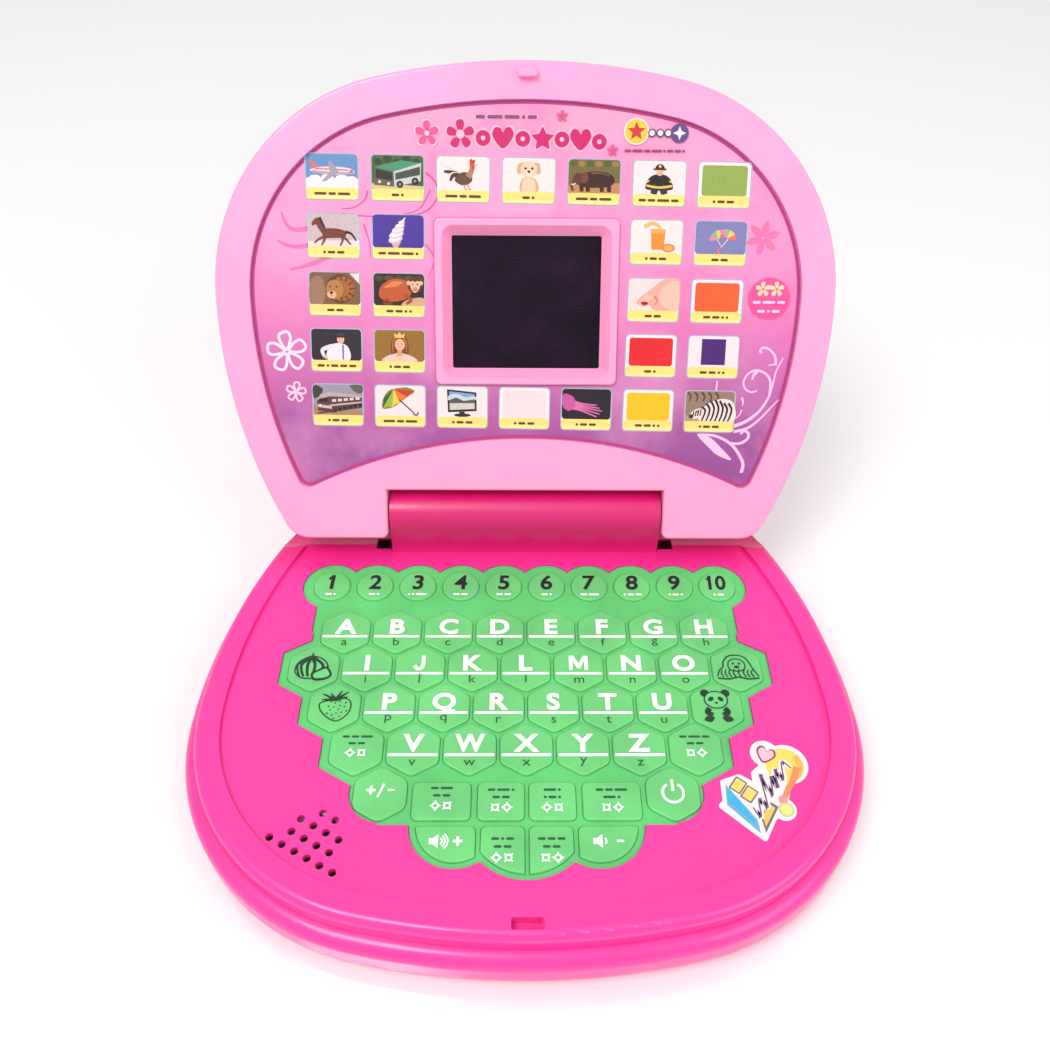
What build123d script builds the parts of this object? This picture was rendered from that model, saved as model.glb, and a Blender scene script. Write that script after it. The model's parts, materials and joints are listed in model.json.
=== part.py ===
from build123d import *
import os
from math import atan2, cos, pi, radians, sin, sqrt

# Toy laptop computer: a D-shaped clamshell with a silicone keypad in the base and a picture
# panel with a small display in the lid.
#
# Frame, in millimetres: +X to the user's right, -Y towards the user, +Z up. The toy stands on
# z = 0 with its lid open, and the origin is the middle of the open toy's footprint box.
# "reach" is a distance from the hinge axis: towards the user on the base, up the lid on the lid.

os.makedirs("parts", exist_ok=True)

# ---------------------------------------------------------------- driving dimensions

# Outline shared by base and lid, as distances from the hinge axis
HALF_WIDTH = 113.2        # at the widest place
WIDEST_REACH = 83.0       # where the outline is widest
FRONT_REACH = 162.5       # front edge of the closed toy
REAR_REACH = 8.6          # back edge, behind the hinge axis
CORNER_R = 75.5           # front corner arcs
SIDE_R = 185.0            # side arcs, from the widest place to the back
REAR_CORNER_R = 10.0

# Heights
FOOT_H = 1.0              # how far the rubber feet stand out below the casing
PARTING_Z = 20.0          # where the upper and lower casings of the base meet
BORDER_Z = 28.0           # top of the base's border
DECK_DEPTH = 1.6          # the deck lies this far below the border
WALL = 2.2                # moulded wall thickness
DECK_Z = BORDER_Z - DECK_DEPTH
PLATE_Z = DECK_Z - WALL   # underside of the deck
BULGE = 5.0               # how far the lower casing swells out past the upper one
BORDER_R = 3.0            # rounding along the border's top edge

# Border step and the ramp that closes it at the front
STEP_INSET = 8.8
RAMP_START = 134.0
RAMP_END = 157.0

# Hinge
HINGE_UP = 11.8           # axis above the border
LID_LEAN = 32.1           # open lid, degrees back from upright
BARREL_R = 9.8
BARREL_HALF = 52.6
NOTCH_HALF = 53.0
NOTCH_REACH = 10.6        # bottom edge of the lid between its ears
PIN_R = 2.5
PIN_CLEARANCE = 0.05
EAR_SWEEP_R = 14.6        # the relief that the lid's ears turn in
EAR_SLOT = (6.4, 6.6)     # clearance hole under each ear's inner corner
EAR_SLOT_X = 56.2
EAR_SLOT_REACH = 4.8

# Lid, as heights above the hinge axis along the lid's face normal
RIM_B = 11.5              # face of the rim
RECESS_B = 9.4            # floor of the picture recess
FACE_BACK_B = 7.4         # back of the face plate
LID_SPLIT_B = 1.5         # front frame meets back cover
LID_BACK_B = -8.5
RIM_INSET = 12.6          # width of the rim
LID_REAR_REACH = 8.4
LID_BACK_R = 5.0          # rounding of the lid's back edge

# Screen
SCREEN_REACH = 80.6       # middle of the screen, up the lid
SCREEN_FRAME_W = 67.0
SCREEN_FRAME_H = 59.4
WINDOW_W = 54.6
WINDOW_H = 47.6

# Keypad
KEY_PITCH = 19.0
ROW_PITCH = KEY_PITCH * sqrt(3) / 2
FIRST_ROW_REACH = 49.6    # middle of the row A to H
KEY_APOTHEM = 8.9
KEY_CORNER_R = 3.0
KEY_GAP = 0.15            # clearance round each key in the sheet
KEY_TOP_Z = BORDER_Z - 1.5
WEB_TOP_Z = BORDER_Z - 2.3
KEY_TRAVEL = 1.0
BOARD_TOP_Z = PLATE_Z - 2.2
KEY_BOTTOM_Z = BOARD_TOP_Z + KEY_TRAVEL + 0.1
NUMBER_PITCH = 16.55
NUMBER_REACH = 27.6
NUMBER_R = 7.0
SCALLOP_R = 11.0
PAD_MARGIN = 2.9          # sheet shown round the hexagonal keys
FUNCTION_TOP_REACH = 111.2
FUNCTION_SPLIT_REACH = 125.6

# Latch
LATCH_REACH = 157.9
NUB = (6.6, 2.8, 3.0)     # width, height and how far it stands out
SLOT = (9.8, 3.6)
SLOT_DEPTH = 4.4
POCKET_WALL = 1.4         # round the slot's pocket, inside the casing

# Derived hinge position: the open toy's footprint box is centred on the origin
HINGE_Z = BORDER_Z + HINGE_UP
LEAN = radians(LID_LEAN)
BACK_EDGE_REACH = FRONT_REACH - LID_BACK_R
LID_OVERHANG = BACK_EDGE_REACH * sin(LEAN) - (LID_BACK_B + LID_BACK_R) * cos(LEAN) + LID_BACK_R
HINGE_Y = (FRONT_REACH + BULGE - LID_OVERHANG) / 2

LID_NORMAL = Vector(0, -cos(LEAN), sin(LEAN))
HINGE_POINT = Vector(0, HINGE_Y, HINGE_Z)
LID_OUT = Axis(HINGE_POINT, LID_NORMAL)


# ---------------------------------------------------------------- shared shapes

def base_plane(z):
    """Level plane at height z, its local origin under the hinge axis."""
    return Plane(origin=(0, HINGE_Y, z))


def lid_plane(b):
    """Plane parallel to the lid's face: local Y runs up the lid from the hinge axis."""
    return Plane(origin=HINGE_POINT + LID_NORMAL * b, x_dir=(1, 0, 0), z_dir=LID_NORMAL)


def arc_point(centre, radius, angle):
    return (centre[0] + radius * cos(angle), centre[1] + radius * sin(angle))


def outline(side, grow=0.0, rear=REAR_REACH):
    """The D outline as a face, grown outwards by grow.

    side is -1 for the base, whose reach runs along local -Y, and +1 for the lid.
    """
    front_r = ((HALF_WIDTH - CORNER_R) ** 2 + (FRONT_REACH - WIDEST_REACH) ** 2 - CORNER_R ** 2)
    front_r /= 2 * (FRONT_REACH - WIDEST_REACH - CORNER_R)
    corner_centre = (HALF_WIDTH - CORNER_R, WIDEST_REACH)
    front_centre = (0, FRONT_REACH - front_r)
    side_centre = (HALF_WIDTH - SIDE_R, WIDEST_REACH)
    blend = atan2(WIDEST_REACH - front_centre[1], corner_centre[0])
    rear_edge = -(rear + grow)
    turn = -sqrt((SIDE_R + grow) ** 2 - (rear_edge - WIDEST_REACH) ** 2)
    rear_angle = atan2(rear_edge - WIDEST_REACH, -turn)

    stations = (
        arc_point(front_centre, front_r + grow, pi / 2),
        arc_point(front_centre, front_r + grow, (pi / 2 + blend) / 2),
        arc_point(corner_centre, CORNER_R + grow, blend),
        arc_point(corner_centre, CORNER_R + grow, blend / 2),
        arc_point(corner_centre, CORNER_R + grow, 0),
        arc_point(side_centre, SIDE_R + grow, rear_angle / 2),
        arc_point(side_centre, SIDE_R + grow, rear_angle),
    )
    points = [(x, side * y) for x, y in stations]
    with BuildSketch(mode=Mode.PRIVATE) as face:
        with BuildLine():
            ThreePointArc(points[0], points[1], points[2])
            ThreePointArc(points[2], points[3], points[4])
            ThreePointArc(points[4], points[5], points[6])
            Line(points[6], (0, side * rear_edge))
            mirror(about=Plane.YZ)
        make_face()
        corners = [v for v in face.vertices() if abs(v.Y - side * rear_edge) < 0.01 and abs(v.X) > 1]
        fillet(corners, max(REAR_CORNER_R + grow, 0.5))
    return face.sketch


def hexagon(apothem, corner_r):
    """Hexagon with upright sides and rounded corners."""
    with BuildSketch(mode=Mode.PRIVATE) as face:
        RegularPolygon(apothem, 6, major_radius=False, rotation=30)
        fillet(face.vertices(), corner_r)
    return face.sketch


def rounded_block(left, right, near, far, corner_r):
    """Rounded rectangle on the base between two X values and two reaches."""
    with BuildSketch(mode=Mode.PRIVATE) as face:
        with Locations(((left + right) / 2, -(near + far) / 2)):
            RectangleRounded(right - left, far - near, corner_r)
    return face.sketch


# ---------------------------------------------------------------- keypad layout

LETTER_ROWS = ("ABCDEFGH", "IJKLMNO", "PQRSTU", "VWXYZ")
PICTURE_ROWS = (1, 2)      # rows that end in picture keys
LANGUAGE_ROW = 3
SIGN_ROW = 4               # the row below, whose two ends are hexagonal keys
CONTROL_LOBE = (22.8, 126.2, 14.6)   # volume lobe of the sheet: X, reach, radius
MIDDLE_LOBE = (0.0, 123.7, 20.7)
SIGN_LOBE = (47.0, 114.8, 10.5)
LOBE_MARGIN = 2.2


def row_reach(row):
    return FIRST_ROW_REACH + row * ROW_PITCH


def row_places(row, count):
    """Places of count keys centred on one row."""
    return [((i - (count - 1) / 2) * KEY_PITCH, -row_reach(row)) for i in range(count)]


def number_places():
    return [((i - 4.5) * NUMBER_PITCH, -NUMBER_REACH) for i in range(10)]


def row_ends(row, count):
    """The two places just outside a row of count keys."""
    x = (count + 1) / 2 * KEY_PITCH
    return [(-x, -row_reach(row)), (x, -row_reach(row))]


def lobe_key(left, right, lobe, grow):
    """A key of the bottom row: straight sides, with the lobe's arc as its front edge."""
    x, reach, radius = lobe
    with BuildSketch(mode=Mode.PRIVATE) as face:
        with Locations((x, -reach)):
            Circle(radius - LOBE_MARGIN + grow)
        near = FUNCTION_SPLIT_REACH + 0.9 - grow
        keep = rounded_block(left - grow, right + grow, near, near + 30, 2.0)
        add(keep, mode=Mode.INTERSECT)
    return face.sketch


def key_faces(grow=0.0):
    """Every key's outline by name, grown by grow: one face, or several for a group."""
    faces = {}
    for row, letters in enumerate(LETTER_ROWS):
        for letter, place in zip(letters, row_places(row, len(letters))):
            faces["key_" + letter.lower()] = Pos(*place) * hexagon(KEY_APOTHEM + grow, KEY_CORNER_R + grow)

    ends = row_ends(LANGUAGE_ROW, len(LETTER_ROWS[LANGUAGE_ROW]))
    for name, place in zip(("key_language_left", "key_language_right"), ends):
        faces[name] = Pos(*place) * hexagon(KEY_APOTHEM + grow, KEY_CORNER_R + grow)
    for name, place in zip(("key_plus_minus", "key_power"), row_ends(SIGN_ROW, 4)):
        faces[name] = Pos(*place) * hexagon(KEY_APOTHEM - 0.2 + grow, 4.0 + grow)

    near = FUNCTION_TOP_REACH - grow
    far = FUNCTION_SPLIT_REACH - 0.9 + grow
    top_row = (("key_music", -37.0, -18.0), ("key_letter", -15.9, -0.7),
               ("key_word", 0.7, 15.9), ("key_singing", 18.0, 37.0))
    for name, left, right in top_row:
        faces[name] = rounded_block(left - grow, right + grow, near, far, 2.0 + grow)

    left_lobe = (-CONTROL_LOBE[0], CONTROL_LOBE[1], CONTROL_LOBE[2])
    bottom_row = (("key_volume_up", -36.0, -16.2, left_lobe), ("key_spelling", -14.6, -0.7, MIDDLE_LOBE),
                  ("key_asking", 0.7, 14.6, MIDDLE_LOBE), ("key_volume_down", 16.2, 36.0, CONTROL_LOBE))
    for name, left, right, lobe in bottom_row:
        faces[name] = lobe_key(left, right, lobe, grow)

    with BuildSketch(mode=Mode.PRIVATE) as numbers:
        with Locations(*number_places()):
            Circle(NUMBER_R + grow)
    faces["number_keys"] = numbers.sketch

    pictures = [p for row in PICTURE_ROWS for p in row_ends(row, len(LETTER_ROWS[row]))]
    with BuildSketch(mode=Mode.PRIVATE) as picture_hexes:
        with Locations(*pictures):
            add(hexagon(KEY_APOTHEM + grow, KEY_CORNER_R + grow))
    faces["picture_keys"] = picture_hexes.sketch
    return faces


def pad_outline(grow=0.0):
    """Scalloped outline of the keypad sheet where it shows through the casing."""
    rounding = 1.0
    spread = grow - rounding
    with BuildSketch(mode=Mode.PRIVATE) as face:
        with Locations(*number_places()):
            Circle(SCALLOP_R + spread)
        first = row_reach(0)
        with Locations((0, -(NUMBER_REACH + first) / 2)):
            Rectangle(2 * (79.0 + spread), first - NUMBER_REACH)
        for row, letters in enumerate(LETTER_ROWS):
            keys = len(letters) + (0 if row == 0 else 2)
            with Locations(*row_places(row, keys)):
                RegularPolygon(KEY_APOTHEM + PAD_MARGIN + spread, 6, major_radius=False, rotation=30)
        body_end = SIGN_LOBE[1] + SIGN_LOBE[2]
        with Locations((0, -(first + body_end) / 2)):
            Rectangle(2 * SIGN_LOBE[0], body_end - first)
        for x, reach, radius in (CONTROL_LOBE, SIGN_LOBE):
            with Locations((-x, -reach), (x, -reach)):
                Circle(radius + spread)
        with Locations((0, -MIDDLE_LOBE[1])):
            Circle(MIDDLE_LOBE[2] + spread)
        offset(amount=rounding, kind=Kind.ARC)
    return face.sketch


# ---------------------------------------------------------------- base: places inside

SCREW_PLACES = [(s * x, -reach) for x, reach in ((93.0, 28.0), (98.0, 94.0), (42.0, 147.5)) for s in (-1, 1)]
BASE_BOSS_R = 3.4
BASE_POST_R = 4.4
BOSS_MEET_Z = 19.0
SCREW_R = 1.3
SCREW_HEAD_R = 2.7
SCREW_HEAD_H = 1.6

GRILLE_PLACE = (-66.4, -129.8)
SPEAKER_PLACE = (-67.4, -130.8)   # a little outwards of the grille, clear of the keypad sheet
SPEAKER_R = 12.5
GRILLE_PITCH = 4.85
GRILLE_HOLE_R = 1.3
GRILLE_TURN = -29.0
GRILLE_ROWS = ((1, 2), (0, 4), (0, 4), (-1, 6))     # first hole's column and number of holes

BATTERY_LENGTH = 50.2
BATTERY_R = 7.1
BATTERY_PITCH = 14.6
BATTERY_COUNT = 3
BATTERY_REACH = 38.0
BATTERY_ROOM = (56.0, 45.2)
BATTERY_Z = FOOT_H + 2.0 + BATTERY_R + 0.1
ROOM_TOP_Z = BATTERY_Z + BATTERY_R + 0.2
DOOR_T = 2.0
DOOR_GAP = 0.2
DOOR_TAB_R = 4.4
DOOR_TAB_T = 3.2
DOOR_SEAT = 1.8           # depth of the door screw's counterbore
DOOR_SCREW_REACH = BATTERY_REACH + BATTERY_ROOM[1] / 2 + 3.0

FEET_PLACES = [(s * x, -reach) for x, reach in ((78.0, 6.0), (70.0, 128.0)) for s in (-1, 1)]
FOOT_R = 6.0
FOOT_SEAT = 0.5
BOARD_T = 1.6
POST_PLACES = [(s * x, -reach) for x, reach in ((60.0, 26.0), (70.0, 62.0), (36.0, 98.0), (24.0, 134.0))
               for s in (-1, 1)]
POST_R = 2.5

# ---------------------------------------------------------------- base upper casing

# Room over the deck: the border steps down to the deck, which climbs back near the front.
with BuildPart() as deck_room:
    with BuildSketch(base_plane(DECK_Z)):
        add(outline(-1, -STEP_INSET))
    extrude(amount=DECK_DEPTH + 1)
    with BuildSketch(Plane.YZ):
        with BuildLine():
            Polyline(
                (HINGE_Y - RAMP_START, DECK_Z),
                (HINGE_Y - RAMP_END, BORDER_Z),
                (HINGE_Y - FRONT_REACH, BORDER_Z + 2),
                (HINGE_Y - FRONT_REACH, DECK_Z),
                close=True,
            )
        make_face()
    extrude(amount=HALF_WIDTH, both=True, mode=Mode.SUBTRACT)

# Barrel between the lid's ears: round over the top, upright front and back below the axis.
with BuildPart() as barrel:
    with BuildSketch(Plane.YZ.offset(-BARREL_HALF)):
        with Locations((HINGE_Y, HINGE_Z)):
            Circle(BARREL_R)
        neck_back = HINGE_Y + REAR_REACH
        neck_front = HINGE_Y - BARREL_R
        with Locations(((neck_back + neck_front) / 2, (HINGE_Z + PLATE_Z) / 2)):
            Rectangle(neck_back - neck_front, HINGE_Z - PLATE_Z)
    extrude(amount=2 * BARREL_HALF)

# The barrel is hollow and open to the inside of the base, with thick ends for the pins.
BARREL_END = 2.8
with BuildPart() as barrel_room:
    with BuildSketch(Plane.YZ.offset(-BARREL_HALF + BARREL_END)):
        with Locations((HINGE_Y, HINGE_Z)):
            Circle(BARREL_R - WALL)
        with Locations((HINGE_Y, (HINGE_Z + PARTING_Z) / 2)):
            Rectangle(2 * (REAR_REACH - WALL), HINGE_Z - PARTING_Z)
    extrude(amount=2 * (BARREL_HALF - BARREL_END))

with BuildPart() as pin_bosses:
    for x in (-BARREL_HALF, BARREL_HALF - BARREL_END - 5):
        with BuildSketch(Plane.YZ.offset(x)):
            with Locations((HINGE_Y, HINGE_Z)):
                Circle(PIN_R + 2.2)
        extrude(amount=BARREL_END + 5)

with BuildPart() as base_upper_casing:
    with BuildSketch(base_plane(PARTING_Z)):
        add(outline(-1))
    extrude(amount=BORDER_Z - PARTING_Z)
    fillet(base_upper_casing.faces().sort_by(Axis.Z)[-1].edges(), BORDER_R)
    chamfer(base_upper_casing.faces().sort_by(Axis.Z)[0].edges(), 0.5)
    add(deck_room.part, mode=Mode.SUBTRACT)
    # hollow underside
    with BuildSketch(base_plane(PARTING_Z - 1)):
        add(outline(-1, -WALL))
    extrude(amount=PLATE_Z - PARTING_Z + 1, mode=Mode.SUBTRACT)
    # relief that the lid's ears turn in, either side of the barrel
    for x in (-HALF_WIDTH, NOTCH_HALF - 0.4):
        with BuildSketch(Plane.YZ.offset(x)):
            with Locations((HINGE_Y, HINGE_Z)):
                Circle(EAR_SWEEP_R)
        extrude(amount=HALF_WIDTH - NOTCH_HALF + 0.4, mode=Mode.SUBTRACT)
    # clearance slots for the ears' inner corners
    with BuildSketch(base_plane(PLATE_Z - 1)):
        with Locations((-EAR_SLOT_X, -EAR_SLOT_REACH), (EAR_SLOT_X, -EAR_SLOT_REACH)):
            Rectangle(*EAR_SLOT)
    extrude(amount=BORDER_Z - PLATE_Z + 2, mode=Mode.SUBTRACT)
    add(barrel.part)
    add(barrel_room.part, mode=Mode.SUBTRACT)
    add(pin_bosses.part)
    with BuildSketch(Plane.YZ.offset(-BARREL_HALF - 1)):
        with Locations((HINGE_Y, HINGE_Z)):
            Circle(PIN_R)
    extrude(amount=2 * BARREL_HALF + 2, mode=Mode.SUBTRACT)
    # keypad opening
    with BuildSketch(base_plane(PLATE_Z - 1)):
        add(pad_outline(0.15))
    extrude(amount=WALL + DECK_DEPTH + 2, mode=Mode.SUBTRACT)
    # speaker grille: a small square grid, turned with the casing's corner
    with BuildSketch(base_plane(PLATE_Z - 1)):
        for row, (column, count) in enumerate(GRILLE_ROWS):
            for i in range(count):
                step = Vector((column + i - 1.5) * GRILLE_PITCH, -(row - 1.5) * GRILLE_PITCH)
                spot = Vector(*GRILLE_PLACE) + step.rotate(Axis.Z, GRILLE_TURN)
                with Locations((spot.X, spot.Y)):
                    Circle(GRILLE_HOLE_R)
    extrude(amount=WALL + DECK_DEPTH + 2, mode=Mode.SUBTRACT)
    # closed pocket that takes the lid's catch
    slot_floor = BORDER_Z - SLOT_DEPTH
    with BuildSketch(base_plane(slot_floor - POCKET_WALL)):
        with Locations((0, -LATCH_REACH)):
            RectangleRounded(SLOT[0] + 2 * POCKET_WALL, SLOT[1] + 2 * POCKET_WALL, 0.6 + POCKET_WALL)
    extrude(amount=PLATE_Z - slot_floor + POCKET_WALL)
    with BuildSketch(base_plane(slot_floor)):
        with Locations((0, -LATCH_REACH)):
            RectangleRounded(SLOT[0], SLOT[1], 0.6)
    extrude(amount=SLOT_DEPTH, mode=Mode.SUBTRACT)
    # screw bosses
    with BuildSketch(base_plane(BOSS_MEET_Z)):
        with Locations(*SCREW_PLACES):
            Circle(BASE_BOSS_R)
    extrude(amount=PLATE_Z - BOSS_MEET_Z)
    with BuildSketch(base_plane(BOSS_MEET_Z)):
        with Locations(*SCREW_PLACES):
            Circle(SCREW_R)
    extrude(amount=4.0, mode=Mode.SUBTRACT)
base_upper_casing.part.label = "base_upper_casing"
export_step(base_upper_casing.part, "parts/base_upper_casing.step")

# ---------------------------------------------------------------- base lower casing

with BuildPart() as casing_room:
    with BuildSketch(base_plane(FOOT_H + 2)):
        add(outline(-1, BULGE - WALL))
    extrude(amount=PARTING_Z - 2.6 - FOOT_H - 2)
    fillet(casing_room.faces().sort_by(Axis.Z)[0].edges(), 7.0)
    fillet(casing_room.faces().sort_by(Axis.Z)[-1].edges(), 3.0)
    with BuildSketch(base_plane(PARTING_Z - 4)):
        add(outline(-1, -WALL))
    extrude(amount=5)

with BuildPart() as battery_walls:
    with BuildSketch(base_plane(FOOT_H)):
        with Locations((0, -BATTERY_REACH)):
            Rectangle(BATTERY_ROOM[0] + 3.2, BATTERY_ROOM[1] + 3.2)
    extrude(amount=ROOM_TOP_Z + 1.2 - FOOT_H)
    with BuildSketch(base_plane(FOOT_H)):
        with Locations((0, -DOOR_SCREW_REACH)):
            Circle(DOOR_TAB_R + 1.4)
    extrude(amount=10)

with BuildPart() as base_lower_casing:
    with BuildSketch(base_plane(FOOT_H)):
        add(outline(-1, BULGE))
    extrude(amount=PARTING_Z - FOOT_H)
    fillet(base_lower_casing.faces().sort_by(Axis.Z)[-1].edges(), BULGE - 0.2)
    fillet(base_lower_casing.faces().sort_by(Axis.Z)[0].edges(), 9.0)
    add(casing_room.part, mode=Mode.SUBTRACT)
    # battery room, open below for its door
    add(battery_walls.part)
    with BuildSketch(base_plane(FOOT_H)):
        with Locations((0, -BATTERY_REACH)):
            Rectangle(BATTERY_ROOM[0], BATTERY_ROOM[1])
    extrude(amount=ROOM_TOP_Z - FOOT_H, mode=Mode.SUBTRACT)
    with BuildSketch(base_plane(FOOT_H)):
        with Locations((0, -BATTERY_REACH)):
            RectangleRounded(BATTERY_ROOM[0] + 1.6, BATTERY_ROOM[1] + 1.6, 1.5)
    extrude(amount=DOOR_T, mode=Mode.SUBTRACT)
    with BuildSketch(base_plane(FOOT_H)):
        with Locations((0, -DOOR_SCREW_REACH)):
            Circle(DOOR_TAB_R)
    extrude(amount=DOOR_TAB_T, mode=Mode.SUBTRACT)
    with BuildSketch(base_plane(FOOT_H)):
        with Locations((0, -DOOR_SCREW_REACH)):
            Circle(SCREW_R)
    extrude(amount=8.5, mode=Mode.SUBTRACT)
    # posts for the casing screws and under the key circuit board
    with BuildSketch(base_plane(FOOT_H + 1)):
        with Locations(*SCREW_PLACES):
            Circle(BASE_POST_R)
    extrude(amount=BOSS_MEET_Z - FOOT_H - 1)
    with BuildSketch(base_plane(FOOT_H + 1)):
        with Locations(*POST_PLACES):
            Circle(POST_R)
    extrude(amount=BOARD_TOP_Z - BOARD_T - FOOT_H - 1)
    with BuildSketch(base_plane(FOOT_H)):
        with Locations(*SCREW_PLACES):
            Circle(SCREW_HEAD_R + 0.2)
    extrude(amount=6.0, mode=Mode.SUBTRACT)
    with BuildSketch(base_plane(FOOT_H)):
        with Locations(*SCREW_PLACES):
            Circle(SCREW_R + 0.2)
    extrude(amount=PARTING_Z, mode=Mode.SUBTRACT)
    # shallow seats for the rubber feet
    with BuildSketch(base_plane(FOOT_H)):
        with Locations(*FEET_PLACES):
            Circle(FOOT_R)
    extrude(amount=FOOT_SEAT, mode=Mode.SUBTRACT)
base_lower_casing.part.label = "base_lower_casing"
export_step(base_lower_casing.part, "parts/base_lower_casing.step")

with BuildPart() as rubber_feet:
    with BuildSketch(base_plane(0)):
        with Locations(*FEET_PLACES):
            Circle(FOOT_R)
    extrude(amount=FOOT_H + FOOT_SEAT)
    fillet(rubber_feet.faces().group_by(Axis.Z)[0].edges(), 0.4)
rubber_feet.part.label = "rubber_feet"
export_step(rubber_feet.part, "parts/rubber_feet.step")


def screw(top_z, head_z):
    """Pan-head screw pointing up: head_z is the underside of the casing's counterbore floor."""
    with BuildPart(mode=Mode.PRIVATE) as one:
        with BuildSketch(Plane.XY.offset(head_z - SCREW_HEAD_H)):
            Circle(SCREW_HEAD_R)
        extrude(amount=SCREW_HEAD_H)
        fillet(one.faces().sort_by(Axis.Z)[0].edges(), 0.5)
        with BuildSketch(Plane.XY.offset(head_z)):
            Circle(SCREW_R)
        extrude(amount=top_z - head_z)
        with BuildSketch(Plane.XY.offset(head_z - SCREW_HEAD_H)):
            Rectangle(3.0, 0.7)
            Rectangle(0.7, 3.0)
        extrude(amount=0.8, mode=Mode.SUBTRACT)
    return one.part


with BuildPart() as base_screws:
    with Locations(base_plane(0)):
        with Locations(*[(x, y, 0) for x, y in SCREW_PLACES]):
            add(screw(BOSS_MEET_Z + 3.8, FOOT_H + 6.0))
base_screws.part.label = "base_screws"
export_step(base_screws.part, "parts/base_screws.step")

# ---------------------------------------------------------------- batteries

with BuildPart() as battery_door:
    with BuildSketch(base_plane(FOOT_H)):
        with Locations((0, -BATTERY_REACH)):
            size = (BATTERY_ROOM[0] + 1.6 - 2 * DOOR_GAP, BATTERY_ROOM[1] + 1.6 - 2 * DOOR_GAP)
            RectangleRounded(size[0], size[1], 1.3)
    extrude(amount=DOOR_T)
    with BuildSketch(base_plane(FOOT_H)):
        with Locations((0, -DOOR_SCREW_REACH)):
            Circle(DOOR_TAB_R - DOOR_GAP)
    extrude(amount=DOOR_TAB_T)
    with BuildSketch(base_plane(FOOT_H)):
        with Locations((0, -DOOR_SCREW_REACH)):
            Circle(SCREW_R + 0.2)
    extrude(amount=DOOR_TAB_T, mode=Mode.SUBTRACT)
    with BuildSketch(base_plane(FOOT_H)):
        with Locations((0, -DOOR_SCREW_REACH)):
            Circle(SCREW_HEAD_R + 0.2)
    extrude(amount=DOOR_SEAT, mode=Mode.SUBTRACT)
    # finger grooves
    with BuildSketch(base_plane(FOOT_H)):
        with GridLocations(0, 3.0, 1, 5):
            with Locations((0, -BATTERY_REACH + 10)):
                SlotOverall(26.0, 1.2)
    extrude(amount=0.5, mode=Mode.SUBTRACT)
battery_door.part.label = "battery_door"
export_step(battery_door.part, "parts/battery_door.step")

with BuildPart() as battery_door_screw:
    with Locations(base_plane(0)):
        with Locations((0, -DOOR_SCREW_REACH, 0)):
            add(screw(FOOT_H + 8.3, FOOT_H + DOOR_SEAT))
battery_door_screw.part.label = "battery_door_screw"
export_step(battery_door_screw.part, "parts/battery_door_screw.step")

BATTERY_ROWS = [HINGE_Y - BATTERY_REACH + (i - 1) * BATTERY_PITCH for i in range(BATTERY_COUNT)]
CELL_CASE = BATTERY_LENGTH - 1.2
with BuildPart() as battery_cells:
    for i, y in enumerate(BATTERY_ROWS):
        way = 1 if i % 2 == 0 else -1
        start = -way * BATTERY_LENGTH / 2
        with BuildSketch(Plane.YZ.offset(start)):
            with Locations((y, BATTERY_Z)):
                Circle(BATTERY_R)
        extrude(amount=way * CELL_CASE)
        with BuildSketch(Plane.YZ.offset(start + way * CELL_CASE)):
            with Locations((y, BATTERY_Z)):
                Circle(2.6)
        extrude(amount=way * (BATTERY_LENGTH - CELL_CASE))
battery_cells.part.label = "battery_cells"
export_step(battery_cells.part, "parts/battery_cells.step")

CONTACT_T = 0.5
with BuildPart() as battery_contacts:
    for side in (-1, 1):
        wall_x = side * BATTERY_ROOM[0] / 2
        with BuildSketch(Plane.YZ.offset(wall_x)):
            with Locations((HINGE_Y - BATTERY_REACH, BATTERY_Z)):
                RectangleRounded(BATTERY_ROOM[1] - 4, 10.0, 1.0)
        extrude(amount=-side * CONTACT_T)
        # each spring or button reaches from its plate to the cell's end
        for y in BATTERY_ROWS:
            with BuildSketch(Plane.YZ.offset(wall_x - side * CONTACT_T)):
                with Locations((y, BATTERY_Z)):
                    Circle(3.6)
            reach_in = BATTERY_ROOM[0] / 2 - CONTACT_T - BATTERY_LENGTH / 2
            extrude(amount=-side * reach_in, taper=25)
battery_contacts.part.label = "battery_contacts"
export_step(battery_contacts.part, "parts/battery_contacts.step")

# ---------------------------------------------------------------- speaker

with BuildPart() as speaker:
    with BuildSketch(base_plane(PLATE_Z)):
        with Locations(SPEAKER_PLACE):
            Circle(SPEAKER_R)
    extrude(amount=-1.6)
    with BuildSketch(base_plane(PLATE_Z - 1.6)):
        with Locations(SPEAKER_PLACE):
            Circle(SPEAKER_R - 1.2)
    extrude(amount=-3.0, taper=35)
    with BuildSketch(base_plane(PLATE_Z - 4.6)):
        with Locations(SPEAKER_PLACE):
            Circle(8.5)
    extrude(amount=-3.4)
    # the paper cone's dish under the grille
    with BuildSketch(base_plane(PLATE_Z)):
        with Locations(SPEAKER_PLACE):
            Circle(SPEAKER_R - 1.8)
    extrude(amount=-2.4, taper=60, mode=Mode.SUBTRACT)
speaker.part.label = "speaker"
export_step(speaker.part, "parts/speaker.step")

# ---------------------------------------------------------------- keypad

key_holes = key_faces(KEY_GAP)
with BuildPart() as keypad_sheet:
    with BuildSketch(base_plane(BOARD_TOP_Z)):
        add(pad_outline(2.6))
    extrude(amount=PLATE_Z - BOARD_TOP_Z)
    with BuildSketch(base_plane(PLATE_Z)):
        add(pad_outline())
    extrude(amount=WEB_TOP_Z - PLATE_Z)
    for hole in key_holes.values():
        with BuildSketch(base_plane(BOARD_TOP_Z)):
            add(hole)
        extrude(amount=WEB_TOP_Z - BOARD_TOP_Z, mode=Mode.SUBTRACT)
keypad_sheet.part.label = "keypad_sheet"
export_step(keypad_sheet.part, "parts/keypad_sheet.step")

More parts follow.
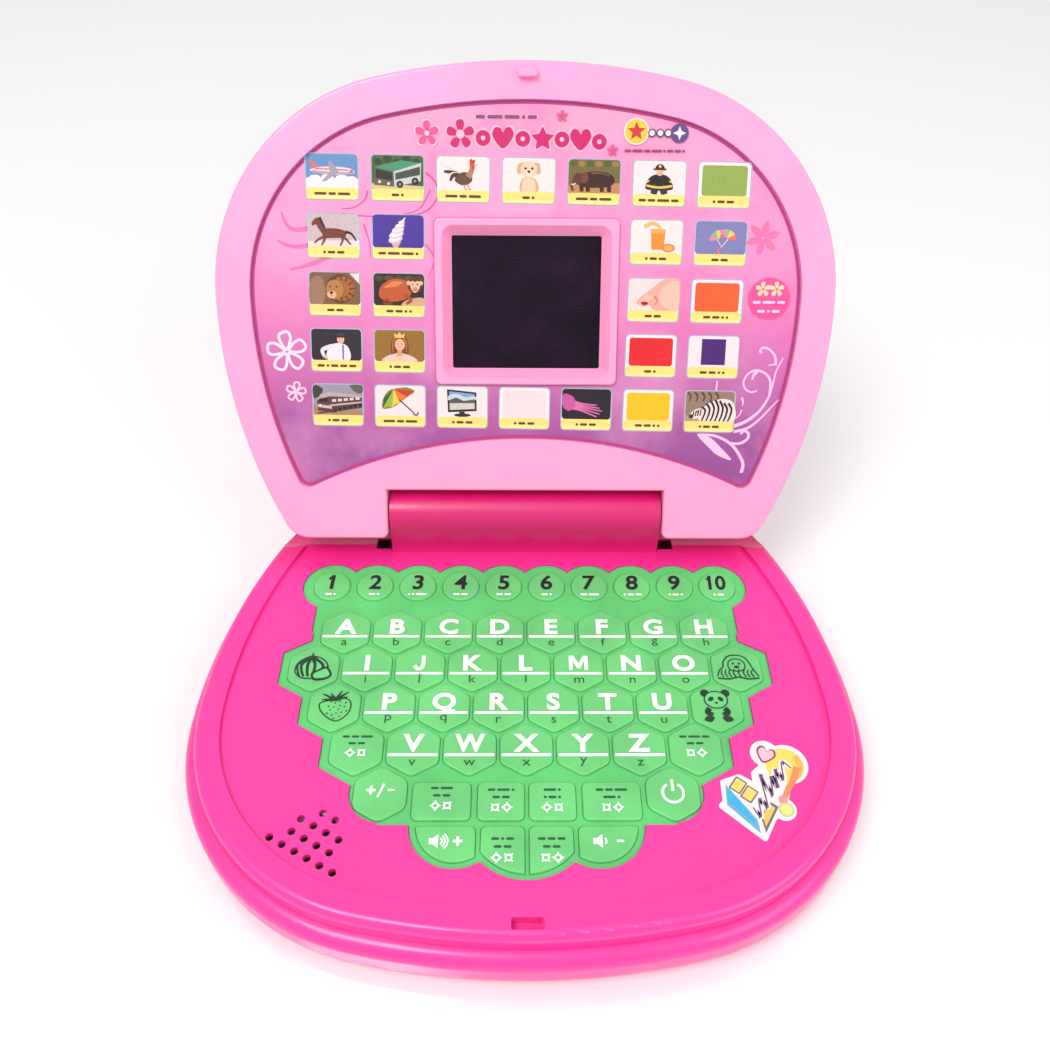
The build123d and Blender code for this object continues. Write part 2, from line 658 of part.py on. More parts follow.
for name, face in key_faces().items():
    with BuildPart() as key:
        with BuildSketch(base_plane(KEY_BOTTOM_Z)):
            add(face)
        extrude(amount=KEY_TOP_Z - KEY_BOTTOM_Z)
        fillet(key.faces().group_by(Axis.Z)[-1].edges(), 0.7)
    key.part.label = name
    export_step(key.part, f"parts/{name}.step")

with BuildPart() as key_circuit_board:
    with BuildSketch(base_plane(BOARD_TOP_Z)):
        add(pad_outline(2.6))
    extrude(amount=-BOARD_T)
key_circuit_board.part.label = "key_circuit_board"
export_step(key_circuit_board.part, "parts/key_circuit_board.step")

# ---------------------------------------------------------------- sticker on the deck

# Die-cut round its artwork: a boxy body and three round lobes, with a white margin outside them
STICKER_T = 0.2
STICKER_MARGIN = 0.9
STICKER_BODY = ((64.3, 111.5), (69.9, 109.6), (74.9, 112.9), (74.9, 108.4), (77.6, 106.0), (80.0, 101.0),
                (86.0, 105.0), (85.0, 114.2), (82.6, 121.2), (78.6, 124.3), (74.6, 131.0), (62.6, 120.0),
                (64.0, 118.5))
STICKER_LOBES = ((86.2, 105.0, 6.4), (79.8, 101.0, 4.0), (82.6, 121.2, 3.0))     # X, reach, radius
with BuildPart() as base_sticker:
    with BuildSketch(base_plane(DECK_Z)):
        with BuildLine():
            Polyline(*[(x, -reach) for x, reach in STICKER_BODY], close=True)
        make_face()
        for x, reach, radius in STICKER_LOBES:
            with Locations((x, -reach)):
                Circle(radius)
        offset(amount=STICKER_MARGIN, kind=Kind.ARC)
    extrude(amount=STICKER_T)
base_sticker.part.label = "base_sticker"
export_step(base_sticker.part, "parts/base_sticker.step")

# ---------------------------------------------------------------- hinge pins

with BuildPart() as hinge_pins:
    for x in (-60.0, BARREL_HALF - BARREL_END - 5):
        with BuildSketch(Plane.YZ.offset(x)):
            with Locations((HINGE_Y, HINGE_Z)):
                Circle(PIN_R)
        extrude(amount=60.0 - BARREL_HALF + BARREL_END + 5)
hinge_pins.part.label = "hinge_pins"
export_step(hinge_pins.part, "parts/hinge_pins.step")

# ---------------------------------------------------------------- lid shapes

EAR_BOSS_R = 5.0
EAR_BOSS_END = 60.5
STAKE_R = 0.8
STAKE_PITCH = (63.6, 55.6)
STAKE_PLACES = [(sx * STAKE_PITCH[0] / 2, SCREEN_REACH + sy * STAKE_PITCH[1] / 2)
                for sx in (-1, 1) for sy in (-1, 1)]
WINDOW_T = 1.2
LCD_T = 2.8
LCD_BOARD_T = 1.2
LCD_BOARD_B = FACE_BACK_B - WINDOW_T - LCD_T - LCD_BOARD_T
LID_BOSS_PLACES = [(s * x, reach) for x, reach in ((80.0, 22.0), (74.0, 130.0)) for s in (-1, 1)]
LID_BOSS_R = 3.4
LID_SCREW_SEAT_B = LID_BACK_B + 2.2
RECESS_ARC_R = 187.0
RECESS_ARC_REACH = 30.6


def lid_outline(grow=0.0):
    """The lid's outline with the notch for the barrel between its two ears."""
    with BuildSketch(mode=Mode.PRIVATE) as face:
        add(outline(1, grow, LID_REAR_REACH))
        notch_top = NOTCH_REACH - grow
        with Locations((0, (notch_top - 30) / 2)):
            Rectangle(2 * (NOTCH_HALF - grow), notch_top + 30, mode=Mode.SUBTRACT)
        ear_end = -(LID_REAR_REACH + grow)
        inner = [v for v in face.vertices() if abs(v.Y - ear_end) < 0.01 and abs(v.X) < NOTCH_HALF + 5]
        if grow == 0:
            fillet(inner, 2.5)
    return face.sketch


def recess_outline(grow=0.0):
    """Picture recess: the outline stepped in, with a hollow arc along its bottom edge."""
    with BuildSketch(mode=Mode.PRIVATE) as face:
        add(outline(1, grow - RIM_INSET, LID_REAR_REACH))
        with Locations((0, RECESS_ARC_REACH - RECESS_ARC_R)):
            Circle(RECESS_ARC_R - grow, mode=Mode.SUBTRACT)
        low = face.vertices().sort_by(Axis.Y)[:2]
        fillet(low, 4.0)
    return face.sketch


# ---------------------------------------------------------------- lid front frame

with BuildPart() as lid_front_frame:
    with BuildSketch(lid_plane(LID_SPLIT_B)):
        add(lid_outline())
    extrude(amount=RIM_B - LID_SPLIT_B)
    fillet(lid_front_frame.faces().sort_by(LID_OUT)[-1].edges(), 1.2)
    # picture recess, then the screen frame standing in it
    with BuildSketch(lid_plane(RECESS_B)):
        add(recess_outline())
    extrude(amount=RIM_B - RECESS_B + 1, mode=Mode.SUBTRACT)
    with BuildSketch(lid_plane(RECESS_B)):
        with Locations((0, SCREEN_REACH)):
            RectangleRounded(SCREEN_FRAME_W, SCREEN_FRAME_H, 2.2)
    extrude(amount=RIM_B - RECESS_B)
    fillet(lid_front_frame.edges().group_by(LID_OUT)[-1].filter_by(
        lambda e: abs(e.center().X) < SCREEN_FRAME_W and e.length < SCREEN_FRAME_W), 0.8)
    # hollow behind
    with BuildSketch(lid_plane(LID_SPLIT_B)):
        add(lid_outline(-WALL))
    extrude(amount=FACE_BACK_B - LID_SPLIT_B, mode=Mode.SUBTRACT)
    # screen opening with sloping sides
    with BuildSketch(lid_plane(FACE_BACK_B)):
        with Locations((0, SCREEN_REACH)):
            RectangleRounded(WINDOW_W, WINDOW_H, 0.8)
    extrude(amount=RIM_B - FACE_BACK_B, taper=-40, mode=Mode.SUBTRACT)
    # pivot bosses in the ears
    for x in (-EAR_BOSS_END, NOTCH_HALF):
        with BuildSketch(Plane.YZ.offset(x)):
            with Locations((HINGE_Y, HINGE_Z)):
                Circle(EAR_BOSS_R)
        extrude(amount=EAR_BOSS_END - NOTCH_HALF)
    with BuildSketch(Plane.YZ.offset(-EAR_BOSS_END)):
        with Locations((HINGE_Y, HINGE_Z)):
            Circle(PIN_R + PIN_CLEARANCE)
    extrude(amount=2 * EAR_BOSS_END, mode=Mode.SUBTRACT)
    # screw bosses
    with BuildSketch(lid_plane(LID_SCREW_SEAT_B + 3)):
        with Locations(*LID_BOSS_PLACES):
            Circle(LID_BOSS_R)
            Circle(SCREW_R, mode=Mode.SUBTRACT)
    extrude(amount=FACE_BACK_B - LID_SCREW_SEAT_B - 3)
    # stakes that hold the display's circuit board
    with BuildSketch(lid_plane(LCD_BOARD_B - 0.4)):
        with Locations(*STAKE_PLACES):
            Circle(STAKE_R)
    extrude(amount=FACE_BACK_B - LCD_BOARD_B + 0.4)
    # catch at the top of the rim
    with BuildSketch(lid_plane(RIM_B)):
        with Locations((0, LATCH_REACH)):
            RectangleRounded(NUB[0], NUB[1], 0.8)
    extrude(amount=NUB[2])
    fillet(lid_front_frame.faces().sort_by(LID_OUT)[-1].edges(), 0.6)
lid_front_frame.part.label = "lid_front_frame"
export_step(lid_front_frame.part, "parts/lid_front_frame.step")

# ---------------------------------------------------------------- lid back cover

with BuildPart() as lid_back_cover:
    with BuildSketch(lid_plane(LID_BACK_B)):
        add(lid_outline())
    extrude(amount=LID_SPLIT_B - LID_BACK_B)
    fillet(lid_back_cover.faces().sort_by(LID_OUT)[0].edges(), LID_BACK_R)
    chamfer(lid_back_cover.faces().sort_by(LID_OUT)[-1].edges(), 0.3)
    with BuildSketch(lid_plane(LID_BACK_B + WALL)):
        add(lid_outline(-WALL - 1.2))
    extrude(amount=LID_SPLIT_B - LID_BACK_B - WALL, mode=Mode.SUBTRACT)
    # room for the pivot bosses
    for x in (-EAR_BOSS_END - 0.3, NOTCH_HALF - 1):
        with BuildSketch(Plane.YZ.offset(x)):
            with Locations((HINGE_Y, HINGE_Z)):
                Circle(EAR_BOSS_R + 0.3)
        extrude(amount=EAR_BOSS_END - NOTCH_HALF + 1.3, mode=Mode.SUBTRACT)
    # screw posts and their counterbores
    with BuildSketch(lid_plane(LID_BACK_B + 1)):
        with Locations(*LID_BOSS_PLACES):
            Circle(LID_BOSS_R)
    extrude(amount=LID_SCREW_SEAT_B + 3 - LID_BACK_B - 1)
    with BuildSketch(lid_plane(LID_BACK_B)):
        with Locations(*LID_BOSS_PLACES):
            Circle(SCREW_HEAD_R + 0.2)
    extrude(amount=LID_SCREW_SEAT_B - LID_BACK_B, mode=Mode.SUBTRACT)
    with BuildSketch(lid_plane(LID_BACK_B)):
        with Locations(*LID_BOSS_PLACES):
            Circle(SCREW_R + 0.2)
    extrude(amount=LID_SPLIT_B - LID_BACK_B, mode=Mode.SUBTRACT)
lid_back_cover.part.label = "lid_back_cover"
export_step(lid_back_cover.part, "parts/lid_back_cover.step")

with BuildPart() as lid_screws:
    with Locations(lid_plane(0)):
        with Locations(*[(x, y, 0) for x, y in LID_BOSS_PLACES]):
            add(screw(FACE_BACK_B - 3, LID_SCREW_SEAT_B))
lid_screws.part.label = "lid_screws"
export_step(lid_screws.part, "parts/lid_screws.step")

# ---------------------------------------------------------------- picture panel and display

PANEL_T = 0.4
with BuildPart() as picture_panel:
    with BuildSketch(lid_plane(RECESS_B)):
        add(recess_outline(-0.25))
        with Locations((0, SCREEN_REACH)):
            RectangleRounded(SCREEN_FRAME_W + 0.5, SCREEN_FRAME_H + 0.5, 2.4, mode=Mode.SUBTRACT)
    extrude(amount=PANEL_T)
picture_panel.part.label = "picture_panel"
export_step(picture_panel.part, "parts/picture_panel.step")

with BuildPart() as screen_window:
    with BuildSketch(lid_plane(FACE_BACK_B - WINDOW_T)):
        with Locations((0, SCREEN_REACH)):
            RectangleRounded(WINDOW_W + 6, WINDOW_H + 6, 1.0)
    extrude(amount=WINDOW_T)
screen_window.part.label = "screen_window"
export_step(screen_window.part, "parts/screen_window.step")

with BuildPart() as lcd_module:
    with BuildSketch(lid_plane(FACE_BACK_B - WINDOW_T - LCD_T)):
        with Locations((0, SCREEN_REACH)):
            Rectangle(WINDOW_W + 3, WINDOW_H + 4)
    extrude(amount=LCD_T)
lcd_module.part.label = "lcd_module"
export_step(lcd_module.part, "parts/lcd_module.step")

with BuildPart() as lcd_board:
    with BuildSketch(lid_plane(LCD_BOARD_B)):
        with Locations((0, SCREEN_REACH)):
            RectangleRounded(WINDOW_W + 12, WINDOW_H + 11, 1.5)
        with Locations(*STAKE_PLACES):
            Circle(STAKE_R, mode=Mode.SUBTRACT)
    extrude(amount=LCD_BOARD_T)
lcd_board.part.label = "lcd_board"
export_step(lcd_board.part, "parts/lcd_board.step")
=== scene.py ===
"""Looks for the toy laptop: moulded plastics, silicone keypad, printed panel and key legends."""
import json
import math
import random

import bmesh
import bpy
from mathutils import Matrix, Vector


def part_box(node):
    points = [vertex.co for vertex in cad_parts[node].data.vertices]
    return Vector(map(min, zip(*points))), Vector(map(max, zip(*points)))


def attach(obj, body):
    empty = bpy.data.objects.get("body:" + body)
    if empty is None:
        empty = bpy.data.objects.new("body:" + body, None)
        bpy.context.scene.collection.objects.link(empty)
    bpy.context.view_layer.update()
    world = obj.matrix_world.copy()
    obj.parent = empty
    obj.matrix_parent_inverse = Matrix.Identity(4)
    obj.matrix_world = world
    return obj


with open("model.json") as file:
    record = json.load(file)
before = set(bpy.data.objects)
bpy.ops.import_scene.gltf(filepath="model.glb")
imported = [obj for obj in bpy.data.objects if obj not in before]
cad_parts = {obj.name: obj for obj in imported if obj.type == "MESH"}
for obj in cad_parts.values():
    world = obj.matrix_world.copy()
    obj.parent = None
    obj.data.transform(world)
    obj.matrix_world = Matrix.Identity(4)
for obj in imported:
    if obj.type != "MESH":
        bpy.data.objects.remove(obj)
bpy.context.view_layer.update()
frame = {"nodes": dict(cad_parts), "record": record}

MM = 0.001
LID_LEAN = math.radians(32.1)          # the open lid leans back from upright
HINGE = Vector(next(j for j in frame["record"]["behaviour"]["joints"] if j["name"] == "lid_hinge")["pos_m"])
LID_UP = Vector((0, math.sin(LID_LEAN), math.cos(LID_LEAN)))
LID_OUT = Vector((0, -math.cos(LID_LEAN), math.sin(LID_LEAN)))
LAYER = 0.012                          # each printed shape lies this far above the last, in mm


# ---------------------------------------------------------------- places

def corners(node):
    low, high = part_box(node)
    return Vector(low), Vector(high)


def top_centre(node):
    """Middle of a node's top face, for a level piece."""
    low, high = corners(node)
    return Vector(((low.x + high.x) / 2, (low.y + high.y) / 2, high.z))


def level_place(point):
    """Local millimetres on a level face: X right, Y away from the user, Z up."""
    return Matrix.Translation(point) @ Matrix.Scale(MM, 4)


def lid_height(node):
    """How far a lid node's front face stands from the hinge axis, along the lid's normal."""
    return max((v.co - HINGE).dot(LID_OUT) for v in frame["nodes"][node].data.vertices)


def lid_place(height):
    """Local millimetres on the lid: X right, Y up the lid from the hinge, Z out of its face."""
    turn = Matrix((Vector((1, 0, 0)), LID_UP, LID_OUT)).transposed().to_4x4()
    return Matrix.Translation(HINGE + LID_OUT * height) @ turn @ Matrix.Scale(MM, 4)


def new_object(name, data):
    made = bpy.data.objects.new(name, data)
    bpy.context.scene.collection.objects.link(made)
    return made


# ---------------------------------------------------------------- materials

def linear(colour, factor=1.0, warmth=(1, 1, 1)):
    """Linear RGBA of a 0xRRGGBB display colour, times a factor and a share for each channel."""
    shares = [min(255, (colour >> shift & 255) * share * factor) / 255
              for shift, share in zip((16, 8, 0), warmth)]
    return (*(c / 12.92 if c <= 0.04045 else ((c + 0.055) / 1.055) ** 2.4 for c in shares), 1.0)


def grey(level):
    return (level, level, level, 1)


class Shader:
    """A material's node tree, with short names for the few nodes that every look here uses."""

    MIX_FACTOR, MIX_A, MIX_B, MIX_RESULT = 0, 6, 7, 2      # a colour Mix node's sockets
    NOISE_LOW, NOISE_HIGH = 0.3, 0.7                       # most of a noise's values lie between these

    def __init__(self, name):
        self.material = bpy.data.materials.new(name)
        self.material.use_nodes = True
        self.tree = self.material.node_tree
        self.principled = self.tree.nodes["Principled BSDF"]
        self.coordinates = self.node("TexCoord").outputs["Object"]

    def node(self, kind, inputs=None, **settings):
        """A new node, with its inputs linked or set by socket name or number."""
        made = self.tree.nodes.new("ShaderNode" + kind)
        for name, value in settings.items():
            setattr(made, name, value)
        for socket, value in (inputs or {}).items():
            if isinstance(value, bpy.types.NodeSocket):
                self.tree.links.new(value, made.inputs[socket])
            else:
                made.inputs[socket].default_value = value
        return made

    def set(self, **values):
        for name, value in values.items():
            socket = name.replace("_", " ").title().replace("Ior", "IOR")
            self.principled.inputs[socket].default_value = value

    def noise(self, scale, detail=3.0, roughness=0.5):
        sockets = {"Vector": self.coordinates, "Scale": scale, "Detail": detail, "Roughness": roughness}
        return self.node("TexNoise", sockets).outputs["Fac"]

    def ramp(self, value, *stops):
        node = self.node("ValToRGB", {"Fac": value})
        elements = node.color_ramp.elements
        while len(elements) < len(stops):
            elements.new(0.5)
        for element, (position, colour) in zip(elements, stops):
            element.position = position
            element.color = colour
        return node.outputs["Color"]

    def two_tone(self, value, low, high):
        """A ramp between two colours over a noise's usual range."""
        return self.ramp(value, (self.NOISE_LOW, low), (self.NOISE_HIGH, high))

    def map_range(self, value, from_low, from_high, to_low=0.0, to_high=1.0):
        sockets = {"Value": value, "From Min": from_low, "From Max": from_high, "To Min": to_low,
                   "To Max": to_high}
        return self.node("MapRange", sockets).outputs["Result"]

    def mix(self, factor, first, second, blend="MIX"):
        sockets = {self.MIX_FACTOR: factor, self.MIX_A: first, self.MIX_B: second}
        return self.node("Mix", sockets, data_type="RGBA", blend_type=blend).outputs[self.MIX_RESULT]

    def hinge_shade_mask(self, inner, outer):
        """Mask of the painted shade at the hinge: 1 within the inner distance of the lid's hinge axis,
        falling to 0 at the outer one.
        """
        across = self.node("VectorMath", {0: self.coordinates, 1: (0, 1, 1)}, operation="MULTIPLY")
        hinge = (0, HINGE.y, HINGE.z)
        reach = self.node("VectorMath", {0: across.outputs["Vector"], 1: hinge}, operation="DISTANCE")
        return self.map_range(reach.outputs["Value"], inner, outer, 1.0, 0.0)

    def finish(self, colour, rough_noise, rough_low, rough_high, bump=None, depth=0.0, strength=1.0):
        """Joins the colour, an uneven roughness and a bump to the shader, and gives the material."""
        sockets = self.principled.inputs
        self.tree.links.new(colour, sockets["Base Color"])
        uneven = self.map_range(rough_noise, self.NOISE_LOW, self.NOISE_HIGH, rough_low, rough_high)
        self.tree.links.new(uneven, sockets["Roughness"])
        if bump is not None:
            node = self.node("Bump", {"Strength": strength, "Distance": depth, "Height": bump})
            self.tree.links.new(node.outputs["Normal"], sockets["Normal"])
        return self.material


def moulded_plastic(name, colour, roughness=0.34, coat=0.25, barrel_shade=None):
    """Injection-moulded shell: faint flow mottling, a fine texture and uneven gloss, with painted shade
    around the hinge barrel when a shade colour is given.
    """
    look = Shader(name)
    mottle = look.two_tone(look.noise(28.0, 4.0), linear(colour, 0.985), linear(colour, 1.01))
    speck = look.ramp(look.noise(900.0, 2.0), (0.35, grey(0.93)), (0.65, grey(1)))
    shell = look.mix(0.6, mottle, speck, "MULTIPLY")
    # Painted shade: near the hinge axis the casing's colour turns to a deeper pink, standing in for the shade
    # over the hinge barrel and its neck.
    if barrel_shade:
        shell = look.mix(look.hinge_shade_mask(BARREL_SHADE_REACH, BARREL_SHADE_REACH + BARREL_SHADE_FADE), shell, linear(barrel_shade))
    look.set(coat_weight=coat, coat_roughness=0.12, subsurface_weight=0.06, subsurface_scale=0.002,
             subsurface_radius=(1.0, 0.35, 0.6))
    return look.finish(shell, look.noise(60.0, 5.0), roughness - 0.05, roughness + 0.07,
                       look.noise(2600.0, 3.0), 0.00003, 0.35)


def silicone(name, colour, roughness=0.45, depth=0.35):
    """Soft translucent silicone with a fine sparkle of moulding texture."""
    look = Shader(name)
    mottle = look.two_tone(look.noise(45.0), linear(colour, 0.95), linear(colour, 1.04))
    grain = look.two_tone(look.noise(1500.0, 2.0), (0.88, 0.9, 0.88, 1), grey(1))
    look.set(subsurface_weight=depth, subsurface_scale=0.003, subsurface_radius=(0.4, 1.0, 0.5),
             sheen_weight=0.08, sheen_roughness=0.4)
    return look.finish(look.mix(0.7, mottle, grain, "MULTIPLY"), look.noise(180.0), roughness - 0.06,
                       roughness + 0.08, look.noise(1800.0), 0.00004, 0.4)


INKS = {}
FILM_WARMTH = (0.97, 0.90, 0.89)       # the panel's clear film takes a little green and blue from its inks


def ink(colour, film=True):
    """Printing ink of one display colour, under the panel's clear film or bare on a key."""
    key = f"{colour:06x}" + ("_film" if film else "_bare")
    if key not in INKS:
        look = Shader("ink_" + key)
        grain = look.noise(2200.0, 2.0)
        warmth = FILM_WARMTH if film else (1, 1, 1)
        tone = look.two_tone(grain, linear(colour, 0.93, warmth), linear(colour, 1.03, warmth))
        low = 0.3 if film else 0.5
        if film:
            look.set(coat_weight=0.12, coat_roughness=0.1, specular_ior_level=0.3)
        INKS[key] = look.finish(tone, look.noise(300.0), low, low + 0.1, grain, 0.000008, 0.3)
    return INKS[key]


def panel_film():
    """The picture panel's background: rose at the top, mauve at the bottom, with cloudy washes."""
    look = Shader("printed_panel")
    axis = look.node("VectorMath", {0: look.coordinates, 1: LID_UP}, operation="DOT_PRODUCT")
    bottom = LID_UP.dot(HINGE) + 20 * MM
    height = look.map_range(axis.outputs["Value"], bottom, bottom + 130 * MM)
    fade = look.ramp(height, (0.0, linear(0x883E86)), (0.14, linear(0x9C4C90)), (0.34, linear(0xC868A6)),
                     (0.55, linear(0xE480B4)), (0.8, linear(0xEA8CB8)), (1.0, linear(0xE494B6)))
    cloud = look.ramp(look.noise(20.0, 5.0, 0.6), (0.46, grey(0)), (0.8, grey(0.55)))
    washed = look.mix(cloud, fade, linear(0xF2AAD4))
    bloom = look.ramp(look.noise(34.0, 4.0, 0.65), (0.5, grey(0)), (0.78, grey(0.5)))
    look.set(coat_weight=0.4, coat_roughness=0.07)
    return look.finish(look.mix(bloom, washed, linear(0xD8509C)), look.noise(120.0), 0.26, 0.36,
                       look.noise(700.0), 0.00001, 0.2)


def clear_window():
    look = Shader("clear_window")
    tone = look.two_tone(look.noise(30.0), (0.93, 0.91, 0.95, 1), (0.98, 0.97, 1.0, 1))
    look.set(transmission_weight=1.0, ior=1.2, specular_ior_level=0.12)
    return look.finish(tone, look.noise(70.0, 5.0, 0.7), 0.03, 0.12)


def display_glass():
    """Switched-off display: near-black violet with faint smears."""
    look = Shader("display_dark")
    smear = look.ramp(look.noise(55.0, 6.0, 0.7), (0.35, linear(0x16031E)), (0.55, linear(0x24082A)),
                      (0.8, linear(0x3E1646)))
    look.set(specular_ior_level=0.12)
    return look.finish(smear, look.noise(35.0, 4.0), 0.3, 0.5, look.noise(90.0), 0.00002, 0.2)


def board_material():
    """Green solder mask with a web of copper tracks under it."""
    look = Shader("circuit_board")
    sockets = {"Scale": 260.0, "Vector": look.coordinates}
    web = look.node("TexVoronoi", sockets, feature="DISTANCE_TO_EDGE").outputs["Distance"]
    tracks = look.ramp(web, (0.04, linear(0x348C4A)), (0.07, linear(0x14542E)))
    return look.finish(look.mix(look.noise(500.0), tracks, linear(0x185C32)), look.noise(90.0), 0.32, 0.5,
                       look.noise(600.0), 0.00002, 0.3)


def metal(name, colour, roughness):
    look = Shader(name)
    grain = look.noise(1200.0, 4.0, 0.6)
    look.set(metallic=1.0)
    return look.finish(look.two_tone(grain, linear(colour, 0.86), linear(colour, 1.05)),
                       look.noise(240.0, 4.0), roughness - 0.08, roughness + 0.12, grain, 0.00001, 0.4)


def battery_jacket():
    """Printed sleeve: a dark band and a copper-coloured end along each cell."""
    look = Shader("battery_jacket")
    split = look.node("SeparateXYZ", {"Vector": look.coordinates})
    half_cell = 25 * MM
    along = look.map_range(split.outputs["X"], -half_cell, half_cell)
    bands = look.ramp(along, (0.02, linear(0xBEBEC0)), (0.04, linear(0x2C4280)), (0.70, linear(0x283C78)),
                      (0.72, linear(0xC49E60)))
    look.set(metallic=0.6)
    return look.finish(look.mix(look.noise(300.0), bands, linear(0x3C4A78)), look.noise(140.0), 0.22, 0.34,
                       look.noise(500.0), 0.00001, 0.3)


BRIGHT_PINK = 0xEE3296
BARREL_SHADE_PINK = 0xCC0368                 # painted shade: the hinge barrel and its neck are coloured deeper than the deck to stand in for their shade
# reach and fade of that painted shade around the hinge axis
BARREL_SHADE_REACH = 12.5 * MM
BARREL_SHADE_FADE = 12 * MM
PALE_PINK = 0xF999C5
KEY_GREEN = 0x6AC876
SHEET_GREEN = 0x5EC872

LOOKS = {
    "bright_pink_casing": moulded_plastic("bright_pink_casing", BRIGHT_PINK),
    "pale_pink_casing": moulded_plastic("pale_pink_casing", PALE_PINK, 0.36, 0.2),
    "green_silicone": silicone("green_silicone", KEY_GREEN),
    "circuit_board": board_material(),
    "speaker_metal": metal("speaker_metal", 0x787478, 0.45),
    "battery_jacket": battery_jacket(),
    "contact_steel": metal("contact_steel", 0xCECCC4, 0.28),
    "screw_steel": metal("screw_steel", 0xB0B2B8, 0.3),
    "hinge_steel": metal("hinge_steel", 0xB2B4B8, 0.25),
    "foot_rubber": silicone("foot_rubber", 0x2E2A2E, 0.6, 0.02),
    "sticker_film": ink(0xFAF8FA),
    "printed_panel": panel_film(),
    "clear_window": clear_window(),
    "display_dark": display_glass(),
}
NODE_LOOKS = {       # the nodes whose look differs from their slot's
    # the upper casing's colour carries painted shade around the hinge barrel
    "base_upper_casing": moulded_plastic("base_upper_casing", BRIGHT_PINK, barrel_shade=BARREL_SHADE_PINK),
    "keypad_sheet": silicone("keypad_sheet", SHEET_GREEN, 0.42, 0.45),
}

for part in frame["record"]["subparts"]:
    cad_mesh = frame["nodes"][part["node"]].data
    cad_mesh.materials.clear()
    cad_mesh.materials.append(NODE_LOOKS.get(part["node"], LOOKS[part["material_slot"]]))


# ---------------------------------------------------------------- flat artwork

def smooth(points, closed=True, steps=6):
    """Catmull-Rom curve through a few given points."""
    count = len(points)
    curve = []
    for i in range(count if closed else count - 1):
        near = [(i + k) % count if closed else i + k for k in range(-1, 3)]
        a, b, c, d = (Vector(points[min(max(k, 0), count - 1)]) for k in near)
        for s in range(steps):
            t = s / steps
            curve.append(0.5 * (2 * b + (c - a) * t + (2 * a - 5 * b + 4 * c - d) * t * t
                                + (3 * b - a - 3 * c + d) * t ** 3))
    if not closed:
        curve.append(Vector(points[-1]))
    return curve


def arc(x, y, radius, start=0.0, end=360.0, steps=24, squash=1.0):
    """Points along an arc, in degrees; a whole turn leaves out its repeated last point."""
    whole = abs(end - start) >= 360
    count = steps if whole else steps + 1
    angles = [math.radians(start + (end - start) * i / steps) for i in range(count)]
    return [Vector((x + radius * math.cos(t), y + radius * squash * math.sin(t))) for t in angles]


CORNER_STEPS = 5


def rounded(left, low, right, high, radius):
    """Outline of a rounded rectangle."""
    points = []
    for x, y, start in ((right, high, 0), (left, high, 90), (left, low, 180), (right, low, 270)):
        cx = x - radius if x == right else x + radius
        cy = y - radius if y == high else y + radius
        points += arc(cx, cy, radius, start, start + 90, CORNER_STEPS)
    return points


def signed_area(points):
    """Twice an outline's area, positive when it runs anticlockwise."""
    return sum(a[0] * b[1] - b[0] * a[1] for a, b in zip(points, points[1:] + points[:1]))


def turned(points, angle, x=0.0, y=0.0):
    """Points turned about 0 by an angle in degrees, then moved."""
    spin = Matrix.Rotation(math.radians(angle), 2)
    return [spin @ Vector(p) + Vector((x, y)) for p in points]


